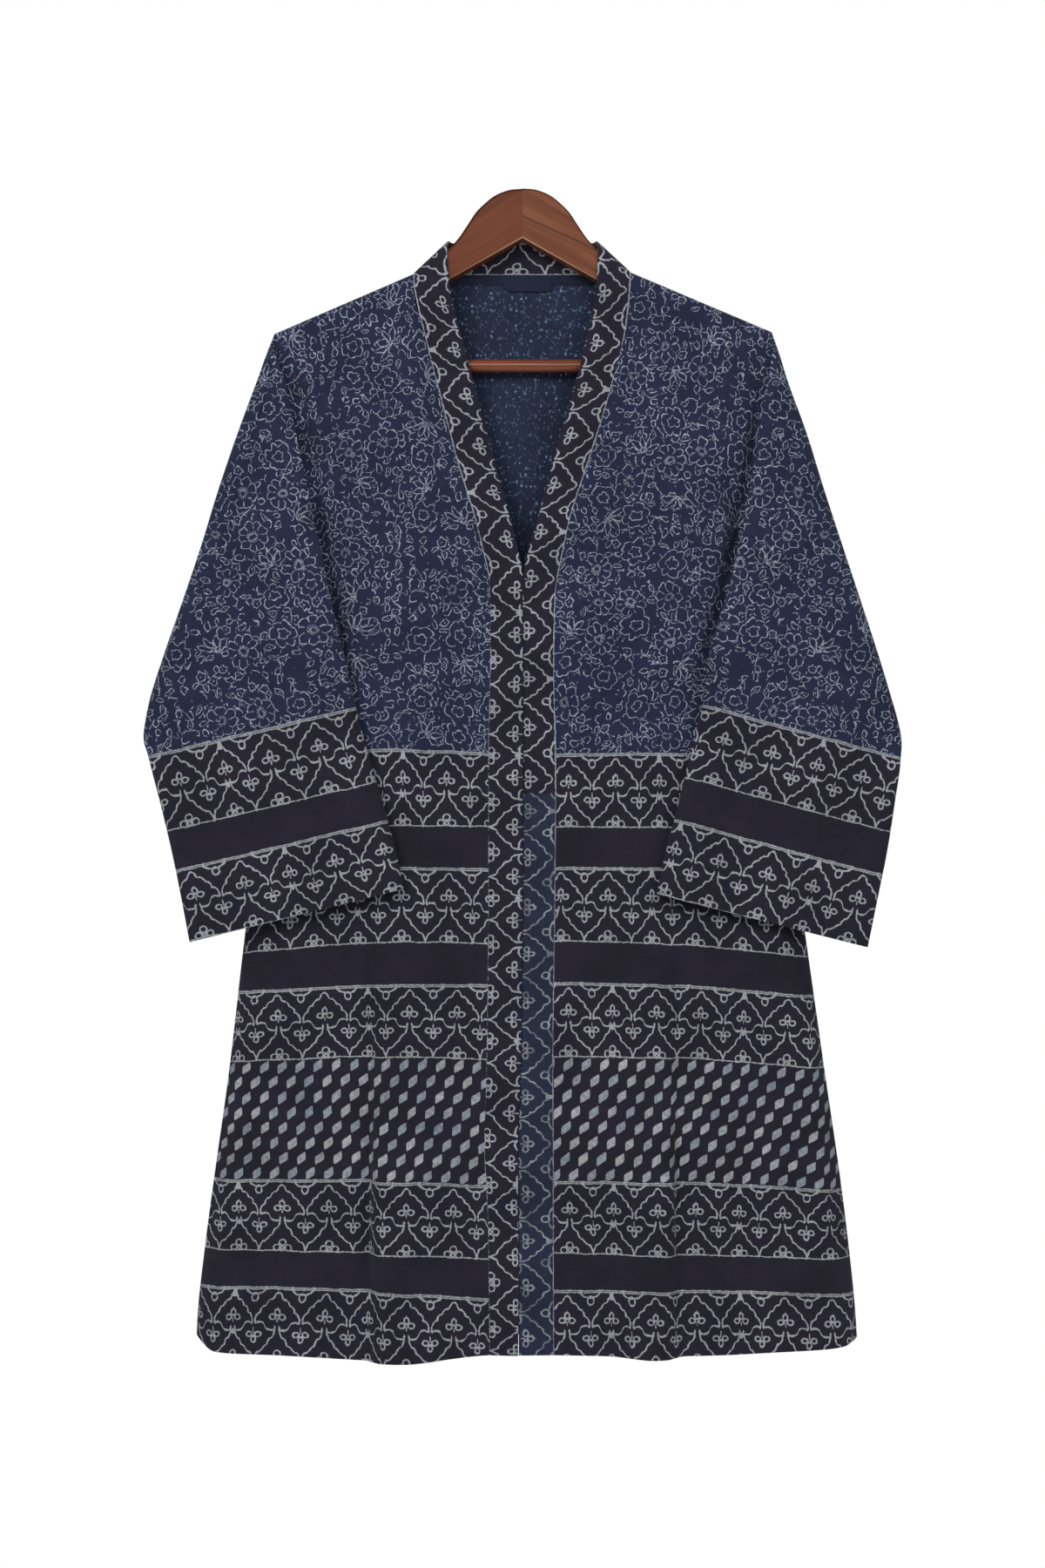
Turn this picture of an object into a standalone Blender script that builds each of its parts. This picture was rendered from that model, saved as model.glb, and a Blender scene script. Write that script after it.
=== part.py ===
"""Open-fronted kimono jacket on a wooden hanger, in metres.

+X is the wearer's left, -Y the front and +Z up. The origin is the top of the hanger's head, which holds it all up.
Every piece of cloth is a wall worked out from sections: a grid of outer points, and inner points one cloth below.
"""
import math

import bmesh
import bpy
import numpy as np

# Cloth and clearances
CLOTH = 0.0015
DOUBLE_CLOTH = 0.0020
TRIM = 0.0010
SEAM_GAP = 0.0003
HALF_GAP = SEAM_GAP / 2

# Hanger
WOOD_HALF_DEPTH = 0.008
WOOD_EDGE_RADIUS = 0.005
MITRE_TOP = -0.0425
LOWER_EDGE_SLOPE = 0.560
ARM_END_X = 0.206
ARM_END_HEIGHT = 0.020
BLOCK_INNER_X = 0.178
BLOCK_OUTER_X = 0.193
BLOCK_BOTTOM = -0.163
BAR_Z = -0.1505
BAR_RADIUS = 0.0055
BAR_SIDES = 20
ARM_STEPS = 16
ARM_END_ROUND = [(-0.010, 0.000), (-0.003, -0.006), (0.000, -0.014), (-0.001, -0.026)]  # x, z from the end's corner
LOWER_CORNER_X = 0.0935
LOWER_MIDDLE_X = 0.120
LOWER_MIDDLE_DROP = 0.002
HEAD_OUTLINE = [  # x, z of the upper edge: the round head, then the dip under the neck to the shoulder's slope
    (0.0000, 0.0000),
    (0.0090, -0.0006),
    (0.0175, -0.0030),
    (0.0249, -0.0067),
    (0.0324, -0.0127),
    (0.0398, -0.0201),
    (0.0473, -0.0313),
    (0.0555, -0.0432),
    (0.0658, -0.0540),
    (0.0730, -0.0640),
    (0.0800, -0.0715),
    (0.0870, -0.0755),
    (0.0935, -0.0775),
    (0.1100, -0.0818),
]
SLOPE_FROM = 0.0658

# Shoulders: the cloth turns over the arms in a flat top and a round corner on each side
SHOULDER_FLAT = 0.003
SHOULDER_ROUND = WOOD_EDGE_RADIUS + SEAM_GAP + CLOTH
SHOULDER_DEPTH = SHOULDER_FLAT + SHOULDER_ROUND
TURN_STEPS = 3
NECK_POINT = {"right": (0.0935, -0.0725), "left": (0.0930, -0.0712)}
SHOULDER_TIP = {"right": (0.2119, -0.1235), "left": (0.2131, -0.1220)}
BACK_NECK_Z = -0.0700
BACK_NECK_DEPTH = 0.0120
BACK_NECK_POWER = 6
NECK_BULGE_FROM, NECK_BULGE_TO = 0.105, 0.060
NECK_BULGE_TOP, NECK_BULGE_FOOT = 0.02, 0.10
NECK_CORNER = 0.0095
UNDERARM = (0.2020, -0.3630)
UNDERARM_ROUND = 0.030

# Half widths at the side seams, by height
SIDE_COLUMN = {"right": 1, "left": 2}
SIDE_SEAMS = [  # height, right, left
    (-0.363, 0.2020, 0.2020),
    (-0.500, 0.2205, 0.2225),
    (-0.640, 0.2385, 0.2430),
    (-0.756, 0.2520, 0.2595),
    (-0.845, 0.2645, 0.2725),
    (-0.905, 0.2725, 0.2800),
    (-0.965, 0.2790, 0.2860),
    (-1.010, 0.2810, 0.2885),
]

# The front opening, by height: where the band is sewn to each front, and the free edges of the band
SEAM_COLUMN = {"right": 1, "left": 4}
EDGE_COLUMN = {"right": 2, "left": 3}
FRONT_OPENING = [  # height, right seam, right edge, left edge, left seam
    (-0.0600, -0.0935, -0.0645, 0.0645, 0.0925),
    (-0.0920, -0.0925, -0.0613, 0.0622, 0.0917),
    (-0.1156, -0.0862, -0.0549, 0.0576, 0.0893),
    (-0.1475, -0.0780, -0.0468, 0.0503, 0.0815),
    (-0.1936, -0.0661, -0.0345, 0.0374, 0.0692),
    (-0.2400, -0.0538, -0.0221, 0.0245, 0.0543),
    (-0.2865, -0.0394, -0.0093, 0.0121, 0.0394),
    (-0.3100, -0.0338, -0.0038, 0.0054, 0.0346),
    (-0.3300, -0.0293, -0.0001, 0.0008, 0.0305),
    (-0.3450, -0.0267, 0.0001, 0.0006, 0.0281),
    (-0.4195, -0.0276, 0.0003, 0.0008, 0.0268),
    (-0.4834, -0.0290, 0.0003, 0.0008, 0.0286),
    (-0.5926, -0.0290, 0.0000, 0.0005, 0.0280),
    (-0.7500, -0.0305, -0.0016, -0.0011, 0.0261),
    (-0.8178, -0.0322, -0.0040, -0.0035, 0.0264),
    (-0.8824, -0.0292, -0.0036, -0.0031, 0.0264),
    (-1.0100, -0.0276, -0.0036, -0.0031, 0.0267),
]
BAND_JOIN = {"right": -0.3563, "left": -0.5170}
BAND_LIFT = 0.0010
RIGHT_OVER_LEFT = 0.0015
LAP_FROM, LAP_FULL = -0.30, -0.40

# Heights of the hem, by distance from the centre
RIGHT_HEM = [(0.000, -0.9925), (0.028, -0.9930), (0.060, -0.9962), (0.082, -0.9990), (0.101, -1.0001),
             (0.124, -1.0000), (0.157, -0.9985), (0.209, -0.9955), (0.262, -0.9930), (0.281, -0.9800)]
LEFT_HEM = [(0.000, -0.9925), (0.027, -0.9930), (0.075, -0.9940), (0.095, -0.9960), (0.111, -0.9970),
            (0.128, -0.9965), (0.170, -0.9955), (0.208, -0.9935), (0.246, -0.9915), (0.274, -0.9890),
            (0.2885, -0.9825)]
HEM = {"right": RIGHT_HEM, "left": LEFT_HEM}
BACK_HEM_LIFT = 0.004
BACK_HEM_POWER = 8
HEM_CURVE_FROM = 0.35

# How far the outer faces of the fronts and the back stand from the hanger's middle plane, by height
BODY_DEPTHS = [  # height, fronts near the sides, fronts near the band, back
    (-0.060, SHOULDER_DEPTH, SHOULDER_DEPTH, SHOULDER_DEPTH),
    (-0.130, SHOULDER_DEPTH, SHOULDER_DEPTH, 0.0108),
    (-0.230, 0.0100, 0.0112, 0.0125),
    (-0.360, 0.0105, 0.0125, 0.0140),
    (-0.640, 0.0120, 0.0145, 0.0185),
    (-0.800, 0.0145, 0.0205, 0.0220),
    (-1.010, 0.0170, 0.0270, 0.0250),
]
SIDE_ROUND = 0.034

# The deep fold of each front: a rounded ridge with a steep flank on its outer side, growing towards the hem
FRONT_FOLDS = {  # ridge, its half width and height at the hem, the flank's middle and half width at the hem
    "right": {"ridge": 0.1015, "spread": 0.024, "rise": 0.0045, "flank": 0.1275, "slope": 0.0085},
    "left": {"ridge": 0.1110, "spread": 0.020, "rise": 0.0035, "flank": 0.1305, "slope": 0.0085},
}
FOLD_TOP = -0.600
FOLD_FULL = -0.840
SOFT_SLOPE = 0.045
BACK_FOLD_FULL = -1.0
BACK_FOLDS = [  # x at the hem, half width, rise at the hem, height where it starts
    (-0.205, 0.026, 0.0050, -0.52),
    (-0.118, 0.030, 0.0070, -0.40),
    (-0.010, 0.036, 0.0060, -0.30),
    (0.098, 0.028, 0.0075, -0.45),
    (0.190, 0.030, 0.0055, -0.38),
]

# Sleeves: each row is a section of the tube. It is open at the armhole, rises into the fold at the shoulder tip,
# is folded forward as far as the elbow, closes there and is a flat tube from there to the cuff.
SLEEVE_PLACES = {
    "right": [  # inner edge x, z, then the fold or outer edge x, z
        (0.2119, -0.1235, 0.2119, -0.1235),
        (0.2120, -0.1405, 0.2190, -0.1430),
        (0.2046, -0.1580, 0.2262, -0.1630),
        (0.1963, -0.1950, 0.2431, -0.2090),
        (0.1875, -0.2350, 0.2594, -0.2570),
        (0.1791, -0.2750, 0.2743, -0.3060),
        (0.1707, -0.3150, 0.2903, -0.3540),
        (0.1630, -0.3520, 0.3058, -0.3990),
        (0.1554, -0.3850, 0.3178, -0.4380),
        (0.1518, -0.3982, 0.3205, -0.4530),
        (0.1486, -0.4110, 0.3220, -0.4670),
        (0.1413, -0.4443, 0.3177, -0.4863),
        (0.1307, -0.4850, 0.3072, -0.5270),
        (0.1187, -0.5250, 0.2976, -0.5670),
        (0.1082, -0.5630, 0.2895, -0.6060),
        (0.1006, -0.5980, 0.2824, -0.6433),
    ],
    "left": [
        (0.2131, -0.1220, 0.2131, -0.1220),
        (0.2130, -0.1395, 0.2195, -0.1425),
        (0.2102, -0.1580, 0.2259, -0.1630),
        (0.2037, -0.1950, 0.2425, -0.2090),
        (0.1977, -0.2350, 0.2573, -0.2570),
        (0.1903, -0.2750, 0.2732, -0.3060),
        (0.1822, -0.3150, 0.2889, -0.3540),
        (0.1726, -0.3520, 0.3034, -0.3990),
        (0.1619, -0.3850, 0.3150, -0.4380),
        (0.1592, -0.3982, 0.3188, -0.4528),
        (0.1568, -0.4110, 0.3214, -0.4670),
        (0.1526, -0.4418, 0.3212, -0.4886),
        (0.1421, -0.4850, 0.3163, -0.5240),
        (0.1327, -0.5250, 0.3094, -0.5670),
        (0.1226, -0.5630, 0.3012, -0.6070),
        (0.1140, -0.6026, 0.2928, -0.6477),
    ],
}
SLEEVE_WALLS = [  # form, share of the underarm edge, y of the back, front, lower and upper walls
    ("armhole", 0.00, 0.00905, -0.00905, -0.00905, -0.00905),
    ("rise", 0.01, 0.00900, -0.00900, -0.01310, -0.01550),
    ("folded", 0.04, 0.00860, -0.00880, -0.01400, -0.01850),
    ("folded", 0.10, 0.00760, -0.00850, -0.01420, -0.01960),
    ("folded", 0.18, 0.00620, -0.00840, -0.01440, -0.02010),
    ("folded", 0.30, 0.00480, -0.00840, -0.01460, -0.02060),
    ("folded", 0.45, 0.00340, -0.00840, -0.01480, -0.02120),
    ("folded", 0.63, 0.00180, -0.00850, -0.01510, -0.02190),
    ("folded", 0.82, -0.00050, -0.00880, -0.01540, -0.02260),
    ("close", 0.92, -0.00700, -0.01000, -0.01555, -0.02300),
    ("flat", 1.00, -0.01000, -0.01000, -0.01570, -0.02330),
    ("flat", 1.00, -0.01000, -0.01000, -0.01600, -0.02400),
    ("flat", 1.00, -0.01000, -0.01000, -0.01640, -0.02480),
    ("flat", 1.00, -0.01000, -0.01000, -0.01680, -0.02570),
    ("flat", 1.00, -0.01000, -0.01000, -0.01720, -0.02670),
    ("flat", 1.00, -0.01000, -0.01000, -0.01760, -0.02780),
]
SLEEVE_CORNERS = [  # where two walls of a section meet, its rounding, points on the corner and on the wall after it
    ("pocket front", 0.003, 2, 0),
    ("pocket lower", 0.003, 2, 3),
    ("inner lower", 0.003, 2, 0),
    ("inner upper", 0.003, 2, 3),
    ("fold upper", 0.010, 3, 0),
    ("fold back", 0.010, 3, 3),
    ("underarm back", UNDERARM_ROUND, 3, 0),
    ("underarm front", UNDERARM_ROUND, 3, 2),
]
POCKET_DEPTH = 0.0065
POCKET_SHARE = 0.35
SPARE_FROM = 0.0040
SPARE_CORNERS = 0.0030
LARGEST_CUT = 0.35

# The free edge of the band, from the lower end of the shoulder's turn over the arm to the middle of the back neck
NECK_EDGE = [  # x, y, z
    (0.0638, -0.0106, -0.0680),
    (0.0646, -0.0101, -0.0565),
    (0.0645, -0.0068, -0.0478),
    (0.0634, -0.0005, -0.0432),
    (0.0626, 0.0050, -0.0428),
    (0.0614, 0.0095, -0.0426),
    (0.0600, 0.0119, -0.0424),
    (0.0510, 0.0122, -0.0420),
    (0.0365, 0.0122, -0.0415),
    (0.0185, 0.0122, -0.0407),
    (0.0000, 0.0122, -0.0405),
]

# Trim inside the back neck: rows of the back's own points, from the neck seam down
BINDING_COLUMNS = 3
BINDING_ROWS = (0.1, 1.0, 2.0, 2.6)
LOOP_ROWS = (0.7, 2.0, 3.0, 4.03)
LOOP_FROM, LOOP_TO = -0.0165, 0.0255

# Divisions of the body panels
ARMHOLE_SHARES = (0.20, 0.41, 0.62, 0.80, 0.925, 0.98, 1.0)
BODY_ROWS = 11
OPENING_FOOT = -0.3290
FRONT_COLUMNS = (0.0, 0.008, 0.03, 0.08, 0.17, 0.28, 0.40, 0.50, 0.56, 0.59, 0.62, 0.65, 0.70, 0.77, 0.88, 1.0)
NECK_COLUMNS = (0.0, 0.27, 0.54, 0.76, 0.90, 0.935, 0.97, 1.0)
SHOULDER_COLUMNS = (0.22, 0.42, 0.60, 0.76, 0.88, 0.96, 0.99, 1.0)

FLORAL_CLOTH = {"colour": (0.024, 0.034, 0.085), "roughness": 0.85}
BORDER_CLOTH = {"colour": (0.020, 0.019, 0.034), "roughness": 0.85}
TRIM_CLOTH = {"colour": (0.012, 0.012, 0.026), "roughness": 0.80}
WOOD = {"colour": (0.180, 0.065, 0.030), "roughness": 0.42}
BAR_WOOD = {"colour": (0.210, 0.060, 0.026), "roughness": 0.40}


def smooth_step(value, low, high):
    """Goes from 0 at low to 1 at high, level at both ends."""
    share = min(1.0, max(0.0, (value - low) / (high - low)))
    return share * share * (3 - 2 * share)


def read_table(rows, at, column):
    """Value of a column at a height or distance, on a smooth curve through the rows that never overshoots them."""
    rows = sorted(rows)
    xs = [row[0] for row in rows]
    ys = [row[column] for row in rows]
    at = min(max(at, xs[0]), xs[-1])
    k = min(max(int(np.searchsorted(xs, at)) - 1, 0), len(xs) - 2)
    slopes = [(ys[i + 1] - ys[i]) / (xs[i + 1] - xs[i]) for i in range(len(xs) - 1)]

    def tangent(i):
        if i == 0 or i == len(xs) - 1:
            return slopes[0] if i == 0 else slopes[-1]
        before, after = slopes[i - 1], slopes[i]
        return 0.0 if before * after <= 0 else 2 * before * after / (before + after)

    step = xs[k + 1] - xs[k]
    t = (at - xs[k]) / step
    return ((2 * t**3 - 3 * t**2 + 1) * ys[k] + (t**3 - 2 * t**2 + t) * step * tangent(k)
            + (3 * t**2 - 2 * t**3) * ys[k + 1] + (t**3 - t**2) * step * tangent(k + 1))


def material(name, look):
    """A plain Principled material."""
    made = bpy.data.materials.new(name)
    made.use_nodes = True
    shader = made.node_tree.nodes["Principled BSDF"]
    shader.inputs["Base Color"].default_value = (*look["colour"], 1.0)
    shader.inputs["Roughness"].default_value = look["roughness"]
    shader.inputs["Metallic"].default_value = 0.0
    return made


def add_object(name, mesh, look, smooth=True):
    """Links a mesh as a named object with its own material."""
    mesh.materials.append(material(name, look))
    if smooth:
        mesh.shade_smooth()
        mesh.set_sharp_from_angle(angle=math.radians(40))
    made = bpy.data.objects.new(name, mesh)
    bpy.context.scene.collection.objects.link(made)
    return made


def wall_solid(name, outer, inner, look, ring=False):
    """The closed wall between two grids of points; the columns of a ring join up into a tube."""
    rows, columns = outer.shape[:2]
    shape = bmesh.new()
    faces_of = [[[shape.verts.new(p) for p in row] for row in grid] for grid in (outer, inner)]
    spans = columns if ring else columns - 1
    for grid in faces_of:
        for i in range(rows - 1):
            for j in range(spans):
                k = (j + 1) % columns
                shape.faces.new((grid[i][j], grid[i][k], grid[i + 1][k], grid[i + 1][j]))
    above, below = faces_of
    for i in (0, rows - 1):
        for j in range(spans):
            k = (j + 1) % columns
            shape.faces.new((above[i][j], above[i][k], below[i][k], below[i][j]))
    if not ring:
        for j in (0, columns - 1):
            for i in range(rows - 1):
                shape.faces.new((above[i][j], above[i + 1][j], below[i + 1][j], below[i][j]))
    bmesh.ops.recalc_face_normals(shape, faces=shape.faces)
    mesh = bpy.data.meshes.new(name)
    shape.to_mesh(mesh)
    shape.free()
    return add_object(name, mesh, look)


def inner_side(outer, towards, sides):
    """The grid moved in by one cloth; at a seam it moves within the plane of the seam.

    The columns named in sides are side seams: they close against each other from the underarm down.
    """
    across = np.gradient(outer, axis=1)
    down = np.gradient(outer, axis=0)
    normals = np.cross(across, down)
    normals /= np.linalg.norm(normals, axis=2, keepdims=True)
    if (normals @ np.array(towards)).mean() < 0:
        normals = -normals
    normals[:, 0, 0] = 0
    normals[:, -1, 0] = 0
    for column in sides:
        inward = -np.sign(outer[0, column, 0])
        for row, z in enumerate(outer[:, column, 2]):
            if z < UNDERARM[1] + HALF_GAP:
                normals[row, column] = (inward, 0, 1 if z > UNDERARM[1] - HALF_GAP else 0)
    normals /= np.linalg.norm(normals, axis=2, keepdims=True)
    return outer + CLOTH * normals


def side_sign(side):
    return -1 if side == "right" else 1


def shoulder_z(side, distance):
    """Height of the shoulder's top line at a distance from the centre."""
    neck_x, neck_z = NECK_POINT[side]
    tip_x, tip_z = SHOULDER_TIP[side]
    return neck_z + (tip_z - neck_z) * (distance - neck_x) / (tip_x - neck_x)


def side_distance(side, z):
    """Distance of the armhole edge or the side seam from the centre."""
    tip_x, tip_z = SHOULDER_TIP[side]
    underarm_x, underarm_z = UNDERARM
    if z > underarm_z:
        return tip_x + (underarm_x - tip_x) * (z - tip_z) / (underarm_z - tip_z)
    return read_table(SIDE_SEAMS, z, SIDE_COLUMN[side])


def armhole_share(z):
    """1 where the armhole holds the front and back apart, and 0 from the underarm down, where they are sewn."""
    low = UNDERARM[1]
    if z <= low:
        return 0.0
    if z >= low + UNDERARM_ROUND:
        return 1.0
    return math.sqrt(1 - (1 - (z - low) / UNDERARM_ROUND) ** 2)


def side_rounding(side, distance, z):
    """Share of the full depth near the side: the front and back turn towards each other at the side seam."""
    inset = (side_distance(side, z) - distance) / SIDE_ROUND
    rounded = 1.0 if inset >= 1 else math.sqrt(max(0.0, 1 - (1 - max(inset, 0.0)) ** 2))
    return rounded + (1 - rounded) * armhole_share(z)


def front_depth(side, distance, z):
    """How far the front's outer face stands in front of the hanger's middle plane."""
    fold = FRONT_FOLDS[side]
    growth = smooth_step(-z, -FOLD_TOP, -FOLD_FULL)
    half_width = SOFT_SLOPE + (fold["slope"] - SOFT_SLOPE) * growth
    near_side = read_table(BODY_DEPTHS, z, 1)
    near_band = read_table(BODY_DEPTHS, z, 2)
    inside = 1 - smooth_step(distance, fold["flank"] - half_width, fold["flank"] + half_width)
    ridge = fold["rise"] * growth * math.exp(-((distance - fold["ridge"]) / fold["spread"]) ** 2)
    depth = near_side + (near_band - near_side) * inside + ridge * inside
    return depth * side_rounding(side, distance, z)


def back_depth(side, x, z):
    """How far the back's outer face stands behind the hanger's middle plane."""
    depth = read_table(BODY_DEPTHS, z, 3)
    neck_bulge = 1 - smooth_step(abs(x), NECK_BULGE_TO, NECK_BULGE_FROM)
    near_neck = 1 - smooth_step(BACK_NECK_Z - z, NECK_BULGE_TOP, NECK_BULGE_FOOT)
    depth += (BACK_NECK_DEPTH - SHOULDER_DEPTH) * neck_bulge * near_neck
    for at, half_width, rise, start in BACK_FOLDS:
        growth = smooth_step(-z, -start, -BACK_FOLD_FULL)
        depth += rise * growth * math.exp(-((x - at) / half_width) ** 2)
    return depth * side_rounding(side, abs(x), z)


def turn_over_shoulder():
    """Depth and drop of each row where the cloth turns over the arm, from the shoulder seam down."""
    rows = [(HALF_GAP, 0.0)]
    for step in range(TURN_STEPS + 1):
        angle = math.pi / 2 * step / TURN_STEPS
        rows.append((SHOULDER_FLAT + SHOULDER_ROUND * math.sin(angle), SHOULDER_ROUND * (1 - math.cos(angle))))
    return rows


def rows_down():
    """Each row below the shoulder: its share of the way to the underarm, and from there to the hem."""
    return [(share, 0.0) for share in ARMHOLE_SHARES] + [(1.0, k / BODY_ROWS) for k in range(1, BODY_ROWS + 1)]


def level_at(start, middle, end, row):
    to_middle, to_end = row
    return start + (middle - start) * to_middle + (end - middle) * to_end


def front_grid(side):
    """Outer points of a front panel: rows from the shoulder seam to the hem, columns from the side to the band."""
    sign = side_sign(side)
    tip_z = SHOULDER_TIP[side][1]
    neck_z = NECK_POINT[side][1]
    side_end = HEM[side][-1][1]
    seam_end = HEM[side][1][1]

    def distance_at(share, z_side, z_seam):
        x_side = side_distance(side, z_side) - HALF_GAP * armhole_share(z_side)
        x_seam = abs(read_table(FRONT_OPENING, z_seam, SEAM_COLUMN[side])) + HALF_GAP
        return x_side + (x_seam - x_side) * share

    rows = []
    for depth, drop in turn_over_shoulder():
        row = []
        for share in FRONT_COLUMNS:
            distance = distance_at(share, tip_z - drop, neck_z - drop)
            row.append((sign * distance, -depth, shoulder_z(side, distance) - drop))
        rows.append(row)
    for place in rows_down():
        row = []
        z_side = level_at(tip_z - SHOULDER_ROUND, UNDERARM[1], side_end, place)
        z_seam = level_at(neck_z - SHOULDER_ROUND, OPENING_FOOT, seam_end, place)
        for share in FRONT_COLUMNS:
            distance = distance_at(share, z_side, z_seam)
            straight_hem = side_end + (seam_end - side_end) * share
            z = z_side + (z_seam - z_side) * share
            z += (read_table(HEM[side], distance, 1) - straight_hem) * smooth_step(place[1], HEM_CURVE_FROM, 1.0)
            row.append((sign * distance, -front_depth(side, distance, z) - HALF_GAP, z))
        rows.append(row)
    return np.array(rows)


def back_top_z(side, distance):
    """Height of the back's top edge: the neck seam, then the shoulder seam."""
    neck_x, neck_z = NECK_POINT[side]
    if distance <= neck_x:
        return BACK_NECK_Z + (neck_z - BACK_NECK_Z) * (distance / neck_x) ** BACK_NECK_POWER
    return shoulder_z(side, distance)


def back_distances(side):
    """Distances from the centre of the back's columns, along its top edge."""
    neck_x = NECK_POINT[side][0]
    tip_x = SHOULDER_TIP[side][0]
    at_neck = [neck_x * share for share in NECK_COLUMNS]
    return at_neck + [neck_x + (tip_x - neck_x) * share for share in SHOULDER_COLUMNS]


def back_grid():
    """Outer points of the back: rows from the neck and shoulder seams to the hem, columns from right to left."""
    columns = [("right", distance) for distance in reversed(back_distances("right"))]
    columns += [("left", distance) for distance in back_distances("left")[1:]]
    rows = []
    turn = turn_over_shoulder()
    for k, (depth, drop) in enumerate(turn):
        row = []
        for side, distance in columns:
            neck_x = NECK_POINT[side][0]
            over_arm = smooth_step(distance, neck_x - NECK_CORNER, neck_x)
            even_drop = SHOULDER_ROUND * k / (len(turn) - 1)
            z = back_top_z(side, distance) - drop * over_arm - even_drop * (1 - over_arm)
            flat = back_depth(side, distance, z - SHOULDER_ROUND)
            x = side_sign(side) * (distance - HALF_GAP * distance / SHOULDER_TIP[side][0])
            row.append((x, depth * over_arm + flat * (1 - over_arm), z))
        rows.append(row)
    for place in rows_down():
        row = []
        for side, top_distance in columns:
            share = top_distance / SHOULDER_TIP[side][0]
            tip_z = SHOULDER_TIP[side][1]
            z_side = level_at(tip_z - SHOULDER_ROUND, UNDERARM[1], HEM[side][-1][1], place)
            distance = (side_distance(side, z_side) - HALF_GAP * armhole_share(z_side)) * share
            hem = read_table(HEM[side], HEM[side][-1][0] * share, 1) + BACK_HEM_LIFT * (1 - share ** BACK_HEM_POWER)
            z = level_at(back_top_z(side, top_distance) - SHOULDER_ROUND, UNDERARM[1], hem, place)
            row.append((side_sign(side) * distance, back_depth(side, distance, z) + HALF_GAP, z))
        rows.append(row)
    return np.array(rows)


def point_at_height(edge, z):
    """The point at a height on a panel's edge, which is a list of points going down."""
    for above, below in zip(edge, edge[1:]):
        if below[2] <= z <= above[2]:
            return above + (below - above) * (above[2] - z) / (above[2] - below[2])
    return edge[-1] if z < edge[-1][2] else edge[0]


def band_row(side, seam_point):
    """Seam and free edge points of the band beside a point of the front's edge."""
    sign = side_sign(side)
    x, y, z = seam_point
    lift = BAND_LIFT + (RIGHT_OVER_LEFT if side == "right" else 0.0) * smooth_step(-z, -LAP_FROM, -LAP_FULL)
    edge = (read_table(FRONT_OPENING, z, EDGE_COLUMN[side]), y - lift, z)
    return (x - sign * SEAM_GAP, y, z), edge


def neck_turn_rows(side, front_edge, back_edge):
    """Seam and free edge points from the front over the shoulder to the middle of the back neck.

    front_edge holds the front's points from the turn's lower end up to the shoulder seam, and back_edge the back's,
    from beside the neck point to the middle.
    """
    sign = side_sign(side)
    rows = []
    for k, (edge, point) in enumerate(zip(NECK_EDGE, list(front_edge) + list(back_edge))):
        over = smooth_step(k, len(front_edge) - 2, len(front_edge) + 2)
        seam = point + np.array((-sign * SEAM_GAP * (1 - over), 0, SEAM_GAP * over))
        rows.append((seam, (sign * edge[0], edge[1], edge[2])))
    return rows


def band_walls(name, rows):
    """A band between its seam, where it is flush with the panels, and its free edge, where it stands proud."""
    middle = np.array([[np.array(seam) * (1 - share) + np.array(edge) * share for share in (0.0, 0.5, 1.0)]
                       for seam, edge in rows])
    normals = np.cross(np.gradient(middle, axis=0), np.gradient(middle, axis=1))
    behind_neck = middle[:, 0, 1] > -SEAM_GAP
    normals[behind_neck, 0, 2] = 0
    normals /= np.linalg.norm(normals, axis=2, keepdims=True)
    if normals[0, 0, 1] > 0:
        normals = -normals
    proud = normals * (DOUBLE_CLOTH - CLOTH)
    proud[:, 0] = 0
    outer = middle + proud
    return wall_solid(name, outer, middle - CLOTH * normals, BORDER_CLOTH)


def make_bands(fronts, back):
    """The long neck band and the two lower lengths that carry on to the hem."""
    turned = TURN_STEPS + 1
    half = back.shape[1] // 2
    neck_columns = len(NECK_COLUMNS) - 1
    long_rows = {}
    for side in ("right", "left"):
        edge = list(fronts[side][:, -1])
        join = BAND_JOIN[side]
        hanging = [point for point in edge[turned:] if point[2] > join + SEAM_GAP]
        hanging.append(point_at_height(edge[turned:], join + HALF_GAP))
        columns = range(half - neck_columns + 1, half + 1)
        if side == "left":
            columns = range(half + neck_columns - 1, half - 1, -1)
        rows = [band_row(side, point) for point in reversed(hanging)]
        long_rows[side] = rows + neck_turn_rows(side, edge[turned - 1::-1], [back[0, column] for column in columns])
        below = [point_at_height(edge, join - HALF_GAP)] + [point for point in edge if point[2] < join - SEAM_GAP]
        band_walls(side + "_lower_band", [band_row(side, point) for point in below])
    band_walls("neck_band", long_rows["right"] + long_rows["left"][-2::-1])


def sleeve_corners(form, front_length, back_length, depths):
    """The corners of a section's middle line, as distances from the fold and depths, in the order of SLEEVE_CORNERS."""
    back, front, lower, upper = depths
    near = CLOTH / 2
    inner = front_length - near
    under = back_length - near
    spare = [near + SPARE_FROM + SPARE_CORNERS * k for k in (1, 2, 3, 4)]
    if form == "armhole":
        spare = [SHOULDER_ROUND + step for step in spare]
        lifted = [(step, front) for step in reversed(spare)]
        return lifted + [(near, front), (near, back), (under, back), (under, front)]
    if form == "rise":
        lifted = [(inner, front + (upper - front) * k / 3) for k in range(4)]
        return lifted + [(near, upper), (near, back), (under, back), (under, front)]
    if form == "folded":
        pocket = min(POCKET_DEPTH, POCKET_SHARE * front_length, POCKET_SHARE * back_length) + near
        return [(pocket, front), (pocket, lower), (inner, lower), (inner, upper),
                (near, upper), (near, back), (under, back), (under, front)]
    if form == "close":
        step = [(under, back + (lower - back) * k / 3) for k in range(4)]
        return step[2:] + [(inner, lower), (inner, upper), (near, upper), (near, back)] + step[:2]
    flat = [(step, lower) for step in spare]
    return flat[2:] + [(inner, lower), (inner, upper), (near, upper), (near, lower)] + flat[:2]


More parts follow.
